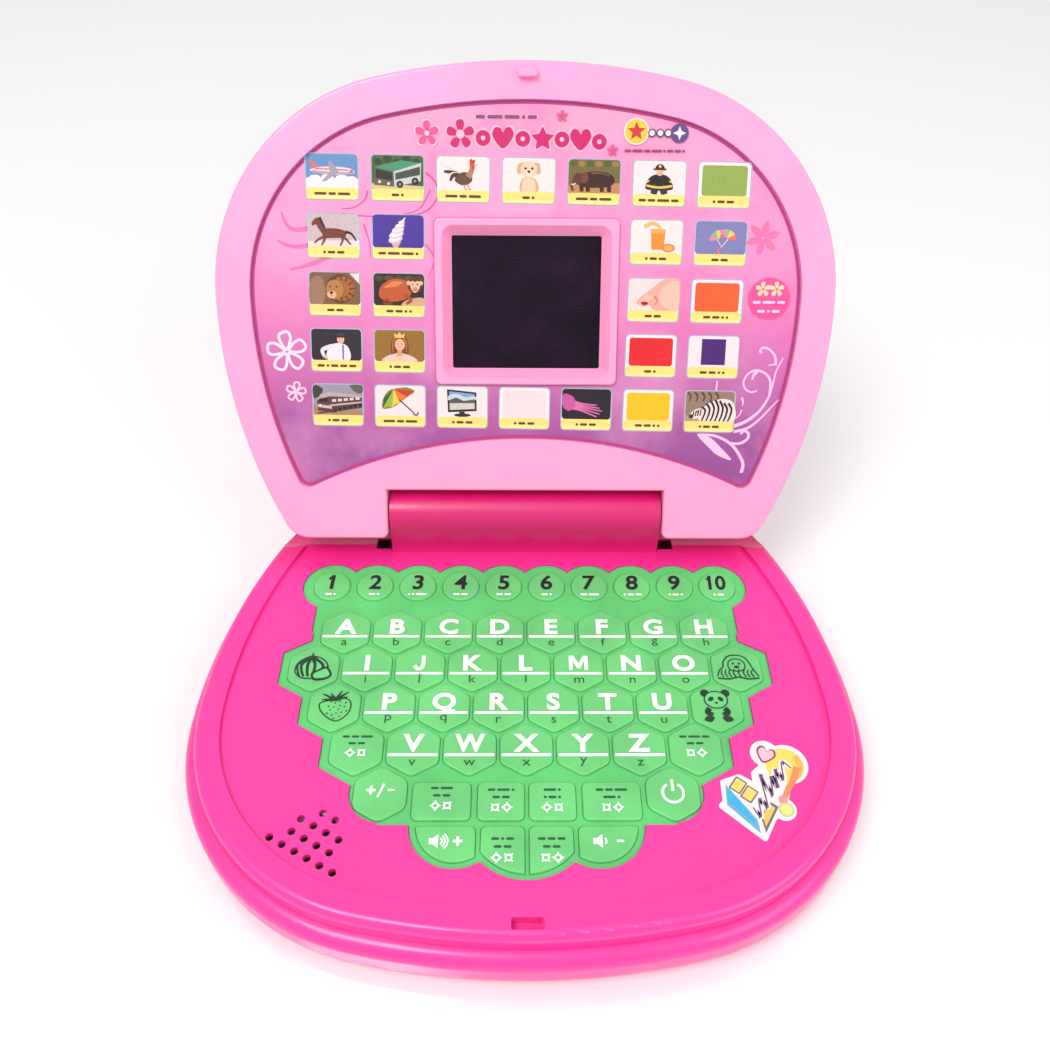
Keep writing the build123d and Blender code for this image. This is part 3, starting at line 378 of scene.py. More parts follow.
class Artwork:
    """One printed piece: thin closed shapes in millimetres, stacked on a face of a CAD node."""

    def __init__(self, name, body, place, slot, film=True, first=0.02):
        self.name, self.body, self.place, self.slot, self.film = name, body, place, slot, film
        self.mesh = bmesh.new()
        self.materials = []
        self.level = first
        self.origin = Vector((0, 0))

    def at(self, x, y):
        self.origin = Vector((x, y))
        return self

    def material_index(self, colour):
        material = ink(colour, self.film)
        if material not in self.materials:
            self.materials.append(material)
        return self.materials.index(material)

    def loop(self, points, z):
        return [self.mesh.verts.new((*(Vector(p) + self.origin), z)) for p in points]

    def shape(self, points, colour):
        """A filled outline."""
        self.level += LAYER
        index = self.material_index(colour)
        if signed_area(points) < 0:
            points = points[::-1]
        low = self.loop(points, 0.0)
        high = self.loop(points, self.level)
        faces = [self.mesh.faces.new(high), self.mesh.faces.new(low[::-1])]
        for a, b, c, d in zip(low, low[1:] + low[:1], high[1:] + high[:1], high):
            faces.append(self.mesh.faces.new((a, b, c, d)))
        for face in faces:
            face.material_index = index

    def band(self, inner, outer, colour, closed=True):
        """A filled strip between two lines with as many points as each other."""
        self.level += LAYER
        index = self.material_index(colour)
        low_in, low_out, high_in, high_out = (self.loop(edge, z) for z in (0.0, self.level)
                                              for edge in (inner, outer))
        count = len(inner)
        faces = []
        for i in range(count if closed else count - 1):
            j = (i + 1) % count
            faces.append((high_in[i], high_out[i], high_out[j], high_in[j]))
            faces.append((low_in[j], low_out[j], low_out[i], low_in[i]))
            faces.append((high_in[j], low_in[j], low_in[i], high_in[i]))
            faces.append((high_out[i], low_out[i], low_out[j], high_out[j]))
        if not closed:
            faces.append((high_in[0], low_in[0], low_out[0], high_out[0]))
            faces.append((high_out[-1], low_out[-1], low_in[-1], high_in[-1]))
        for face in faces:
            self.mesh.faces.new(face).material_index = index

    def disc(self, x, y, radius, colour, squash=1.0, turn=0.0, steps=24):
        self.shape(turned(arc(0, 0, radius, squash=squash, steps=steps), turn, x, y), colour)

    def dots(self, xs, y, radius, colour, steps=24, squash=1.0):
        for x in xs:
            self.disc(x, y, radius, colour, squash, steps=steps)

    def ring(self, x, y, radius, width, colour, start=0.0, end=360.0):
        inner, outer = (arc(x, y, radius + side * width / 2, start, end) for side in (-1, 1))
        self.band(inner, outer, colour, abs(end - start) >= 360)

    def blob(self, points, colour, steps=6):
        self.shape(smooth(points, True, steps), colour)

    def line(self, points, width, colour, taper=1.0, closed=False, curved=True):
        """A drawn stroke, curved through its points. taper is the width left at its far end."""
        path = smooth(points, closed) if curved else [Vector(p) for p in points]
        count = len(path)
        left, right = [], []
        for i, p in enumerate(path):
            before = path[(i - 1) % count] if closed else path[max(i - 1, 0)]
            after = path[(i + 1) % count] if closed else path[min(i + 1, count - 1)]
            along = (after - before).normalized()
            half = width / 2 * (1 + (taper - 1) * i / max(count - 1, 1))
            side = Vector((-along.y, along.x)) * half
            left.append(p + side)
            right.append(p - side)
        self.band(left, right, colour, closed)

    def stroke(self, points, width, colour, taper=1.0):
        """A drawn stroke that runs straight from point to point."""
        self.line(points, width, colour, taper, curved=False)

    def word(self, x, y, units, height, colour, seed=0):
        """A row of short rounded dashes where the toy carries a word: no lettering."""
        pitch, half = height * 0.62, height * 0.17
        gap = pitch * 0.2
        dice = random.Random(seed * 31 + units)
        left = x - units * pitch / 2
        while units > 0:
            run = min(units, dice.choice((1, 2, 2, 3)))
            right = left + run * pitch
            self.shape(rounded(left + gap, y - half, right - gap, y + half, half * 0.9), colour)
            self.level -= LAYER
            left = right
            units -= run
        self.level += LAYER

    def glyph(self, text, x, y, height, colour, stretch=1.0, weight=0.0, slant=0.0):
        """A plain letter or number, its base line at y and its middle at x."""
        self.level += LAYER
        index = self.material_index(colour)
        points, polygons = letter_mesh(text, weight, slant)
        scale = height / CAP_HEIGHT
        verts = []
        for px, py, pz in points:
            flat = Vector((px * scale * stretch + x, py * scale + y)) + self.origin
            verts.append(self.mesh.verts.new((*flat, self.level if pz > 0 else 0.0)))
        for polygon in polygons:
            self.mesh.faces.new([verts[i] for i in polygon]).material_index = index

    def finish(self):
        mesh = bpy.data.meshes.new(self.name)
        self.mesh.to_mesh(mesh)
        self.mesh.free()
        for material in self.materials:
            mesh.materials.append(material)
        mesh.transform(self.place)
        piece = new_object(self.name, mesh)
        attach(piece, self.body)


GLYPH_DEPTH = 0.05
GLYPH_STEPS = 4


def letter_mesh(text, weight, slant):
    """Vertices and faces of a letter or number at the font's own size, centred left to right on 0."""
    curve = bpy.data.curves.new("lettering", "FONT")
    curve.body = text
    curve.align_x = "CENTER"
    curve.offset = weight
    curve.shear = slant
    curve.extrude = GLYPH_DEPTH
    curve.resolution_u = GLYPH_STEPS
    carrier = new_object("lettering", curve)
    mesh = bpy.data.meshes.new_from_object(carrier.evaluated_get(bpy.context.evaluated_depsgraph_get()))
    points = [tuple(v.co) for v in mesh.vertices]
    polygons = [tuple(p.vertices) for p in mesh.polygons]
    across = [x for x, y, z in points]
    middle = (min(across) + max(across)) / 2
    points = [(x - middle, y, z) for x, y, z in points]
    bpy.data.meshes.remove(mesh)
    bpy.data.objects.remove(carrier)
    bpy.data.curves.remove(curve)
    return points, polygons


CAP_HEIGHT = max(y for x, y, z in letter_mesh("H", 0.0, 0.0)[0])

WHITE = 0xFCFCFC
BLACK = 0x121214
DARK_GREEN = 0x16542E
LINE_GREEN = 0x103420
LABEL_YELLOW = 0xFAE884
LABEL_INK = 0x54422C
CELL_EDGE = 0xA6BAD6
SKIN = 0xECBEA0
MAGENTA = 0xC82270


# ---------------------------------------------------------------- key legends

LETTERS = "ABCDEFGHIJKLMNOPQRSTUVWXYZ"
KEY_PITCH = (top_centre("key_b").x - top_centre("key_a").x) / MM


def key_art(node):
    """Empty artwork on top of one key."""
    name = node.replace("key_", "legend_")
    return Artwork(name, node, level_place(top_centre(node)), "green_silicone", False, 0)


def letter_legend(letter):
    art = key_art("key_" + letter.lower())
    art.shape(rounded(-8.3, -2.9, 8.3, -1.9, 0.4), WHITE)
    if letter == "M":
        half = [(0, 1.9), (1.75, 5.3), (3.4, 5.3), (3.4, -0.9), (2.1, -0.9), (2.1, 3.1), (0.5, -0.2)]
        art.shape(half + [(-x, y) for x, y in reversed(half[1:])], WHITE)
    elif letter == "J":
        art.line([(1.1, 5.3), (1.1, 1.2), (0.3, -0.3), (-1.1, -0.3), (-1.9, 0.9)], 1.35, WHITE)
    else:
        art.glyph(letter, 0, -0.9, 6.2, WHITE, 0.98 if letter == "W" else 1.12, 0.034)
    small = letter.lower()
    drop = 0.9 if small in "gjpqy" else 0
    art.glyph(small, 0, -6.4 + drop, 3.2, DARK_GREEN, 1.15, 0.004)
    art.finish()


def number_legends():
    low, high = corners("number_keys")
    radius = (high.y - low.y) / 2
    place = level_place(Vector((0, (low.y + high.y) / 2, high.z)))
    art = Artwork("legend_numbers", "number_keys", place, "green_silicone", False, 0)
    first, last = low.x + radius, high.x - radius
    for i in range(10):
        art.at((first + (last - first) * i / 9) / MM, 0).level = 0
        art.glyph(str(i + 1), 0, -1.5, 6.6, BLACK, 1 if i < 9 else 0.86, 0.026, 0.05)
        if i in (0, 9):
            left = 0.2 if i == 0 else -2.1
            art.stroke([(left, 4.7), (left - 1.7, 3.3)], 1.1, BLACK)
        art.word(0, -4.2, (3, 3, 5, 4, 4, 3, 5, 5, 4, 3)[i], 2.5, WHITE, i)
    art.finish()


def ring_mark(art, x, y, seed):
    """A small white mark: a ring with short rays, turned a little differently on each key."""
    art.ring(x, y, 0.95, 0.5, WHITE)
    for i in range(4):
        art.stroke(turned([(1, 0), (1.75, 0)], 45 * (seed % 2) + 90 * i, x, y), 0.5, WHITE)


def small_words(art, units, top, seed):
    """Two short dark rows over two white marks, as on the function keys."""
    art.word(0, top, units, 2.5, DARK_GREEN, seed)
    art.word(0, top - 2.6, 4, 2.5, DARK_GREEN, seed + 1)
    ring_mark(art, -1.9, top - 6.2, seed)
    ring_mark(art, 1.9, top - 6.2, seed + 1)


def plus(art, x, y, size):
    art.stroke([(x - size, y), (x + size, y)], size * 0.55, WHITE)
    art.stroke([(x, y - size), (x, y + size)], size * 0.55, WHITE)


def loudspeaker(art, x, y, waves):
    art.shape([(x - 2.6, y - 1), (x - 1.3, y - 1), (x + 0.3, y - 2.3), (x + 0.3, y + 2.3), (x - 1.3, y + 1),
               (x - 2.6, y + 1)], WHITE)
    for i in range(waves):
        art.ring(x + 0.2, y, 1.3 + 0.9 * i, 0.5, WHITE, -50, 50)


# the upper row's length in units of a dash, and how far up the key it lies
FUNCTION_WORDS = {"key_language_left": (7, 4.6), "key_language_right": (7, 4.6), "key_music": (5, 4.4),
                  "key_letter": (6, 3.8), "key_word": (4, 3.8), "key_singing": (7, 3.8),
                  "key_spelling": (5, 3.4), "key_asking": (6, 3.4)}


def function_legends():
    for seed, (node, (units, top)) in enumerate(FUNCTION_WORDS.items()):
        art = key_art(node)
        small_words(art, units, top, seed * 3)
        art.finish()

    art = key_art("key_plus_minus")
    plus(art, -3, 1.2, 1.5)
    art.stroke([(-0.7, -1.4), (1.1, 3.4)], 0.7, WHITE)
    art.stroke([(2.4, 1.2), (4.6, 1.2)], 0.7, WHITE)
    art.finish()

    art = key_art("key_power")
    art.ring(0, 0.2, 3.4, 0.85, WHITE, 122, 418)
    art.stroke([(0, 0.8), (0, 4.9)], 0.95, WHITE)
    art.finish()

    for node, waves in (("key_volume_up", 3), ("key_volume_down", 1)):
        art = key_art(node)
        loudspeaker(art, -2.4, 0.8, waves)
        if node == "key_volume_up":
            plus(art, 4, 0.8, 1.5)
        else:
            art.stroke([(2.4, 0.8), (4.6, 0.8)], 0.75, WHITE)
        art.finish()


def melon(art):
    """A striped melon with a wedge leaning on it."""
    art.blob([(-6.6, -1.8), (-5.8, 2.4), (-1.4, 5.2), (3.2, 3.8), (5.4, 0), (3.2, -4.2), (-3.4, -4.8)],
             LINE_GREEN)
    art.blob([(-6.1, -1.7), (-5.3, 2.1), (-1.4, 4.6), (2.8, 3.4), (4.8, 0), (2.8, -3.6), (-3.2, -4.2)],
             KEY_GREEN)
    for x, bow, pen in ((-5, -0.6, 1), (-3.4, -0.9, 1.2), (-1.7, -0.5, 1.3), (0.2, 0.1, 1.3),
                        (2.2, 0.8, 1.2)):
        art.line([(-1.2, 4.9), (x + bow, 1.4), (x + bow * 0.8, -1.4), (x * 0.9, -3.9)], pen, LINE_GREEN, 0.7)
    art.blob([(-0.6, -2.6), (2.2, -0.6), (4.8, 0.4), (6.9, -3.2), (4.4, -5.3), (0.6, -5.4)], LINE_GREEN)
    art.blob([(0.4, -2.8), (2.6, -1.4), (4.6, -0.6), (6, -3.2), (4, -4.4), (1, -4.5)], KEY_GREEN)
    art.stroke([(-1.2, 4.6), (-0.9, 6.2)], 0.6, LINE_GREEN)


def strawberry(art):
    body = [(-5.2, 1.2), (-3.8, -2.6), (1.2, -5.8), (5.2, -2.4), (5.4, 2), (2.4, 3.6), (-2, 2.6)]
    art.line(body, 0.5, LINE_GREEN, closed=True)
    for i in range(17):
        turn = i * 2.4
        reach = 0.98 * math.sqrt(i + 0.6)
        art.disc(0.8 + reach * math.cos(turn), -1 + reach * math.sin(turn), 0.3, LINE_GREEN, steps=8)
    for tip in ((-4.6, 5.2), (-1.8, 5.4), (2, 6.4), (4.4, 6), (-4.6, 2.8), (4.2, 3.9)):
        art.stroke([(0.2, 2.8), tip], 1.2, LINE_GREEN, 0.2)


def sheepdog(art):
    """A shaggy animal sitting under its own coat, in line."""
    art.line([(-7.4, -3.6), (-6.4, -1), (-5, 0.4), (-4.4, 3), (-2.4, 5.2), (0.8, 5.6), (3.4, 4.6), (4.8, 2.2),
              (5.8, -0.6), (7.4, -3.6)], 0.55, LINE_GREEN)
    art.line([(-3, 0.4), (-2.4, 3), (0.2, 4), (2.6, 2.8), (3, 0.4), (1.6, -1.2), (-1.6, -1.2)], 0.5,
             LINE_GREEN, closed=True)
    art.dots((-1.1, 1.1), 1.9, 0.5, LINE_GREEN, 10)
    art.disc(0, 0.4, 1, LINE_GREEN, 0.6)
    for x in (-5.4, -4, -2.6, -1, 0.8, 2.6, 4, 5.4):
        art.line([(x, -0.4 - 0.1 * abs(x)), (x - 0.5, -2.2), (x + 0.2, -4)], 0.45, LINE_GREEN)
    art.line([(-7.4, -4.4), (-3.4, -4.8), (0, -4), (3.4, -4.8), (7.4, -4.4)], 0.55, LINE_GREEN)


def panda(art):
    art.dots((-3.6, 3.6), 5.6, 1.6, LINE_GREEN)
    art.disc(0, 2.9, 4.3, LINE_GREEN, 0.86)
    art.disc(0, 2.9, 3.8, KEY_GREEN, 0.85)
    for x, tilt in ((-1.7, 40), (1.7, -40)):
        art.disc(x, 3.2, 1.15, LINE_GREEN, 0.72, tilt)
    art.disc(0, 1.6, 0.6, LINE_GREEN, 0.7)
    for side in (-1, 1):
        art.line([(side * 2.6, -0.6), (side * 3.6, -2.2), (side * 1.8, -3.4)], 1.9, LINE_GREEN)
        art.blob([(side * 1.4, -4.2), (side * 3.8, -3.8), (side * 5, -5.4), (side * 2.6, -6.1)], LINE_GREEN)


def picture_legends():
    place = level_place(Vector((0, 0, corners("picture_keys")[1].z)))
    art = Artwork("legend_pictures", "picture_keys", place, "green_silicone", False, 0)
    for key, left, right in (("key_i", melon, sheepdog), ("key_p", strawberry, panda)):
        row = top_centre(key) / MM
        for draw, x in ((left, row.x - KEY_PITCH), (right, KEY_PITCH - row.x)):
            art.at(x, row.y).level = 0
            draw(art)
    art.finish()


for capital in LETTERS:
    letter_legend(capital)
number_legends()
function_legends()
picture_legends()


# ---------------------------------------------------------------- picture cells on the lid

CELL_W, CELL_H, LABEL_H = 19.3, 16, 4.3
CELL_R = 1.6
PIC_HALF_W, PIC_LOW, PIC_HIGH = 9.2, -3.8, 7.6
PATCH = (-8.1, -3.7, 8.1, 6.6, 1)          # where a cell has a patch of colour in place of a picture


def lower_ground(art, colour, height, tilt=0):
    """The bottom of a picture's ground, up to a height."""
    art.shape([(-PIC_HALF_W, PIC_LOW), (PIC_HALF_W, PIC_LOW), (PIC_HALF_W, height + tilt),
               (-PIC_HALF_W, height - tilt)], colour)


def airplane(art):
    art.shape(rounded(-PIC_HALF_W, PIC_LOW, PIC_HALF_W, -0.4, 0.6), 0xF0EEF4)
    for x, y, size in ((-6, -0.4, 2), (-1.6, -0.2, 2.2), (3.6, -0.5, 2.4), (7, -0.6, 1.8)):
        art.disc(x, y, size, 0xF2F0F6, 0.5)
    art.shape([(-6.6, 2.4), (-8.2, 5.4), (-6.6, 5.2), (-4, 2.9)], 0xCE7476)
    body = [(-7.8, 2.2), (-3, 3.3), (3, 3.3), (6.6, 2.8), (8.1, 1.8), (6.6, 1), (0, 0.6), (-5, 1.2)]
    art.blob(body, 0xE2DCE2)
    art.line([(-7, 1.7), (0, 1.2), (6.9, 1.3)], 0.8, 0xB0A6B8)
    art.line([(-6, 2.6), (0, 2.5), (6, 2.3)], 0.35, 0xC45662)
    for tip in ((-3.6, -1.6), (-1.4, 5.2)):
        art.shape([(-0.6, 1.6), tip, (tip[0] + 1.3, tip[1]), (2.6, 1.8)], 0xA09CB0)
    art.disc(7, 1.9, 0.7, 0xCE6066, 0.8)


def bus(art):
    for i in range(5):
        art.disc(-7 + i * 3.4, 5.4 + (i % 2), 1.5, 0x2C4828, 0.8)
    lower_ground(art, 0xCEC696, -2.2, -0.4)
    art.shape([(-8.4, -2.4), (-8.2, 3.6), (-1.4, 2.2), (-1.2, -2.9)], 0x605C46)
    art.shape([(-1.4, 2.2), (-1.2, -2.9), (8.2, -0.9), (8.4, 5.2)], 0xC4D0CC)
    art.shape([(-8.2, 3.6), (-1.4, 2.2), (8.4, 5.2), (1.2, 6)], 0x429874)
    art.shape([(-7.7, 0), (-7.6, 3), (-2, 1.8), (-1.9, -0.9)], 0x282E28)
    art.shape([(-0.8, 1.6), (-0.8, -0.6), (8, 1.2), (8, 4)], 0x3E504E)
    for x, y in ((0.8, -2.1), (6.2, -0.9)):
        art.disc(x, y, 1.2, 0x1E1E20)
        art.disc(x, y, 0.5, 0x969696)
    art.disc(-6.4, -1.3, 0.5, 0xFAF0C8)
    art.disc(-3.2, -1.9, 0.5, 0xFAF0C8)


def cockerel(art):
    plumes = (((-6.4, 4.6), 0xE4DED8), ((-6.8, 2.6), 0x362E30), ((-6, 0.6), 0xE8E2DC),
              ((-4.6, -0.6), 0x463A38))
    for i, (tip, shade) in enumerate(plumes):
        art.line([(-0.6, 0.9), (-3.4, 2.6 - i * 0.4), tip], 2, shade, 0.4)
    art.blob([(-3, 0.2), (-0.4, 2.4), (2.8, 1.8), (3, -0.6), (0.4, -2), (-2.2, -1.2)], 0x624A3E)
    art.line([(1.8, 0.8), (2.9, 3), (3, 4.6)], 2.2, 0xB08262, 0.6)
    art.disc(3.1, 5, 0.95, 0xC46048)
    art.blob([(2.2, 5.6), (2.6, 7), (3.4, 6.5), (4.1, 6.8), (3.9, 5.5)], 0xCE322E)
    art.shape([(3.9, 5.2), (5, 4.8), (3.9, 4.5)], 0xDCB05A)
    art.disc(3.6, 4, 0.5, 0xCE322E)
    for x in (0.2, 1.6):
        art.stroke([(x, -1.6), (x + 0.5, -3.1), (x + 1.2, -3.4)], 0.4, 0xC4965A)


def dog(art):
    coat, shade = 0xE8D4B4, 0xCEB28E
    art.blob([(-2.8, -3.6), (-2.6, 0.2), (0, 1.4), (2.8, 0.2), (3.2, -3.6)], shade)
    art.blob([(-2.2, -3.6), (-2, 0.2), (0, 1), (2, 0.2), (2.2, -3.6)], coat)
    for side in (-1, 1):
        art.blob([(side * 1.6, 6), (side * 3.8, 5.6), (side * 4.2, 2.8), (side * 2.8, 2.6)], shade)
    art.disc(0, 3.8, 2.9, coat, 0.95)
    art.disc(0, 2.6, 1.4, 0xF0E2CA, 0.8)
    art.dots((-1.2, 1.2), 4.2, 0.42, BLACK)
    art.disc(0, 3.1, 0.55, BLACK, 0.75)


def elephant(art):
    for i in range(6):
        art.disc(-7.5 + i * 3, 6.2, 1.4, (0x546430, 0x96804A)[i % 2], 0.7)
    lower_ground(art, 0xBC8C5C, -0.6, 0.5)
    hide, shade = 0x3E241A, 0x5C3C2A
    art.blob([(-6.2, -0.4), (-5.6, 2.2), (-2, 3.4), (2.6, 3.6), (6.4, 2.4), (7.2, 0), (4.4, -1.6),
              (-3, -1.8)], hide)
    for x in (-4.6, -2.4, 2.6, 5.2):
        art.stroke([(x, 0.2), (x + 0.3, -3.2)], 1.7, hide, 0.8)
    art.blob([(-7.6, 0.8), (-6.4, 2.9), (-4, 2.4), (-3.8, 0), (-6, -0.8)], shade)
    art.blob([(-4.6, 2.4), (-2.6, 3), (-2.2, 0.6), (-3.8, -0.4)], 0x6E4A36)
    art.line([(-7, 0.6), (-8, -1.2), (-7.4, -3)], 1.2, shade, 0.6)
    art.line([(-1, 2.9), (2.4, 3.1), (5.4, 2.2)], 0.5, 0x866042, 0.4)
    art.line([(-6.6, -0.4), (-7.4, -0.9), (-8.2, -0.7)], 0.4, 0xF0E8D6)


def calm_face(art, x, y, size):
    """A plain round face with two dots for eyes and a short mouth."""
    art.disc(x, y, size, SKIN, 1.15)
    art.dots((x - 0.38 * size, x + 0.38 * size), y + 0.12 * size, 0.11 * size, BLACK, 8)
    art.stroke([(x - 0.25 * size, y - 0.48 * size), (x + 0.25 * size, y - 0.48 * size)], 0.14 * size,
               0xAA5A54)


def cap(art, x, y, radius, brim, crown_colour, brim_colour):
    """A half-round crown over a flat brim."""
    art.shape(arc(x, y, radius, 0, 180, 12), crown_colour)
    art.shape(rounded(x - brim, 4.6, x + brim, 5.1, 0.2), brim_colour)


def firefighter(art):
    coat, stripe = 0x282226, 0xE2CE60
    art.blob([(-1.8, 3), (-3.9, 1.6), (-4.9, -0.8), (-4.4, -2), (0, -2.4), (4.4, -2), (4.9, -0.8), (3.9, 1.6),
              (1.8, 3)], coat)
    for side in (-1, 1):
        art.stroke([(side * 1.4, -1.8), (side * 2, -3.6)], 2.4, 0x363034)
        art.stroke([(side * 3.4, -1.7), (side * 1, -0.6)], 1.5, 0x463C3E)
        art.stroke([(side * 3.6, 1), (side * 4.6, 0.4)], 0.55, stripe)
    art.line([(-4.6, -0.7), (0, -1.3), (4.6, -0.7)], 0.75, stripe)
    calm_face(art, 0, 4.1, 1.3)
    cap(art, 0, 4.9, 1.7, 2.3, 0x302426, 0x302426)
    art.disc(0, 5.8, 0.5, stripe)


def horse(art):
    lower_ground(art, 0xE4E0E2, -1.6, 0.4)
    coat, dark = 0x703E2E, 0x281A1A
    art.blob([(-4, 0.4), (-2.8, 2.4), (2, 2.4), (4.4, 1.4), (4, -0.4), (0, -0.8), (-3, -0.8)], coat)
    art.line([(-3, 1.2), (-5, 3.8), (-5.8, 5.4)], 2.4, coat, 0.7)
    art.blob([(-6.4, 5.9), (-5, 6.1), (-5, 4.8), (-7.2, 3.4), (-7.7, 4.2)], coat)
    art.line([(-4.8, 6.3), (-4, 4.6), (-3, 2.8)], 1, dark, 0.5)
    art.line([(4.2, 1.4), (6.4, 0.8), (8.2, -1.6)], 1, dark, 0.5)
    for knee, hoof in (((-5.2, -1.2), (-7, -2.6)), ((-3.4, -1.8), (-4.4, -3.4)), ((3.2, -1.8), (2.4, -3.4)),
                       ((4.8, -1.4), (6.2, -3))):
        top = (-3, -0.2) if knee[0] < 0 else (3.4, 0)
        art.stroke([top, knee, hoof], 1, coat, 0.5)


def ice_cream(art):
    art.shape([(-3, -0.8), (1, -1.6), (-0.2, -3.7), (-1.8, -3.7)], 0xD6B2A8)
    turns = ((-1, -0.8, 2.6), (-0.7, 0.8, 2.7), (-0.1, 2.3, 2.3), (0.6, 3.7, 1.8), (1.3, 4.9, 1.2))
    for i, (x, y, half) in enumerate(turns):
        art.disc(x, y, half, 0xD6CEE2, 0.5, 16, 16)
        art.disc(x - 0.2, y + 0.3, half * 0.86, 0xF4F0F8, 0.42, 16, 16)
    art.line([(1.4, 5.2), (2.6, 6.8)], 1, 0xF8F4FC, 0.2)


def juice(art):
    art.line([(-4.6, 5.2), (-1.8, 6.6), (0.8, 5.4), (1.2, 3.6)], 1.5, 0xFAC06E, 0.6)
    art.shape([(-2.2, 4.6), (3.2, 4.6), (2.7, -2.6), (-1.7, -2.6)], 0xFAB054)
    art.shape([(-2, 3), (3, 3), (2.6, -2.4), (-1.6, -2.4)], 0xF69634)
    art.disc(4.4, -1.9, 2.4, 0xE8743E, 0.62)
    art.disc(4.4, -1.9, 1.8, 0xFAB264, 0.6)


def kite(art):
    for turn, x, y in ((24, -1.2, 2.6), (-26, 2.6, 3)):
        for i, colour in enumerate((0xEE7468, 0xF8D46C, 0x7AC88A, 0xE886B8)):
            first, last = 20 + 35 * i, 57 + 35 * i
            inner, outer = arc(0, -1.4, 0.4, first, last, 6), arc(0, -1.4, 3.6, first, last, 6, 0.9)
            art.band(turned(inner, turn, x, y), turned(outer, turn, x, y), colour, False)
    art.stroke([(-1.2, 1.2), (0.4, -1.2), (2.6, 1.6)], 0.3, 0xECECFA)
    art.line([(0.4, -1.2), (-0.8, -2.4), (-0.2, -3.6)], 0.5, 0xEC7896)


def lion(art):
    art.blob([(-9, -3.6), (-9, 4), (-5.6, 6.4), (-3.6, 2.4), (-4.6, -3.6)], 0x967C62)
    art.shape([(5.4, 7.4), (9, 7.4), (9, 3.6)], 0xE8E2E4)
    art.disc(2, 1.9, 5.2, 0x683E1E)
    art.disc(2.8, 1.9, 4.4, 0xA4662E)
    for i in range(12):
        art.stroke(turned([(3, 0), (4.9, 0.2)], i * 30, 2.4, 1.9), 0.6, 0x54321A, 0.4)
    art.disc(0, 1.6, 3.2, 0xB2804E, 1.1)
    art.disc(-1.2, -0.2, 1.7, 0xDEBE96, 0.8)
    art.dots((-1.7, 0.7), 2.6, 0.36, BLACK, 8, 0.8)
    art.disc(-1.3, 0.5, 0.7, 0x42261E, 0.65)
    art.stroke([(-1.3, 0.2), (-1.4, -0.9)], 0.25, 0x5A3828)


def monkey(art):
    for i in range(5):
        art.disc(-7.2 + i * 3.6, 6, 1.7, (0x4A422C, 0x5C4830)[i % 2], 0.6)
    art.blob([(1, -3.6), (3.6, -1.4), (8.8, -0.8), (8.8, -3.6)], 0xCEAC8A, 4)
    coat = 0xBA5C2E
    art.blob([(-7.2, -0.4), (-6.4, 3.2), (-2.6, 5.6), (2, 5.4), (4.6, 3), (3.8, -0.4), (0.4, -2),
              (-4.2, -2.2)], coat)
    art.blob([(-5.4, 2.6), (-2.2, 4.8), (1.4, 4.6), (-0.8, 3.2)], 0xDE864E)
    art.line([(-4, -1.4), (-5.4, -2.8), (-2.4, -3.2)], 1.2, 0x843C20)
    art.line([(2, 0.2), (4.4, -1.6), (2.6, -3)], 1.5, 0x9E4C28, 0.6)
    art.disc(5.9, 3.6, 2.7, 0x5C321E, 1.05)
    art.dots((3.6, 8), 4.4, 0.8, 0xE2BEA0)
    art.blob([(4.2, 4.4), (5, 5.2), (5.9, 4.8), (6.8, 5.2), (7.6, 4.4), (7.4, 2.4), (5.9, 1), (4.4, 2.4)],
             0xE4C4A4)
    art.dots((5.1, 6.7), 3.9, 0.3, BLACK, 8)
    art.disc(5.9, 2.3, 0.95, 0xC4967A, 0.7)
    art.line([(5.3, 2), (5.9, 1.8), (6.5, 2)], 0.2, 0x60382C)


def nose(art):
    art.blob([(8.9, 7.2), (3.4, 7.3), (0.4, 5.2), (-2.8, 2.6), (-5.6, 0.4), (-6, -1.4), (-3.6, -2.4),
              (-1.4, -1.8), (0.6, -3.6), (8.9, -3.7)], 0xE6B2A0, 5)
    art.blob([(8.9, 6.4), (5, 6), (2.4, 3.2), (2.2, 0.2), (4.4, -2.6), (8.9, -3)], 0xF0C8B6, 5)
    art.blob([(-4.6, 0.2), (-2.6, 1.6), (-0.4, 1.4), (-1.4, 0), (-3.4, -0.6)], 0xF0C4B2, 5)
    art.blob([(-4.6, -1), (-3.2, -0.5), (-1.8, -1.2), (-3.4, -1.9)], 0x8A2C2C, 5)
    art.line([(0.2, 1.4), (1.4, 0), (0.6, -1.8)], 0.8, 0xCC8676, 0.4)


def police_officer(art):
    art.blob([(-3.2, -3.7), (-2.8, 1.2), (1, 2.6), (4.4, 1), (4.6, -3.7)], 0xE8ECF6)
    art.line([(-1.6, 1.4), (-5.2, 0), (-4.4, -2.6)], 1.8, 0xDEE4F2, 0.6)
    art.stroke([(-4.5, -2.2), (-3.4, -3.2)], 0.9, SKIN)
    art.stroke([(2.4, 2), (2.4, -3.4)], 0.5, 0x4C60A8)
    calm_face(art, 1.6, 4, 1.35)
    cap(art, 1.6, 4.8, 1.6, 1.8, 0x3A3A5C, 0x28263E)


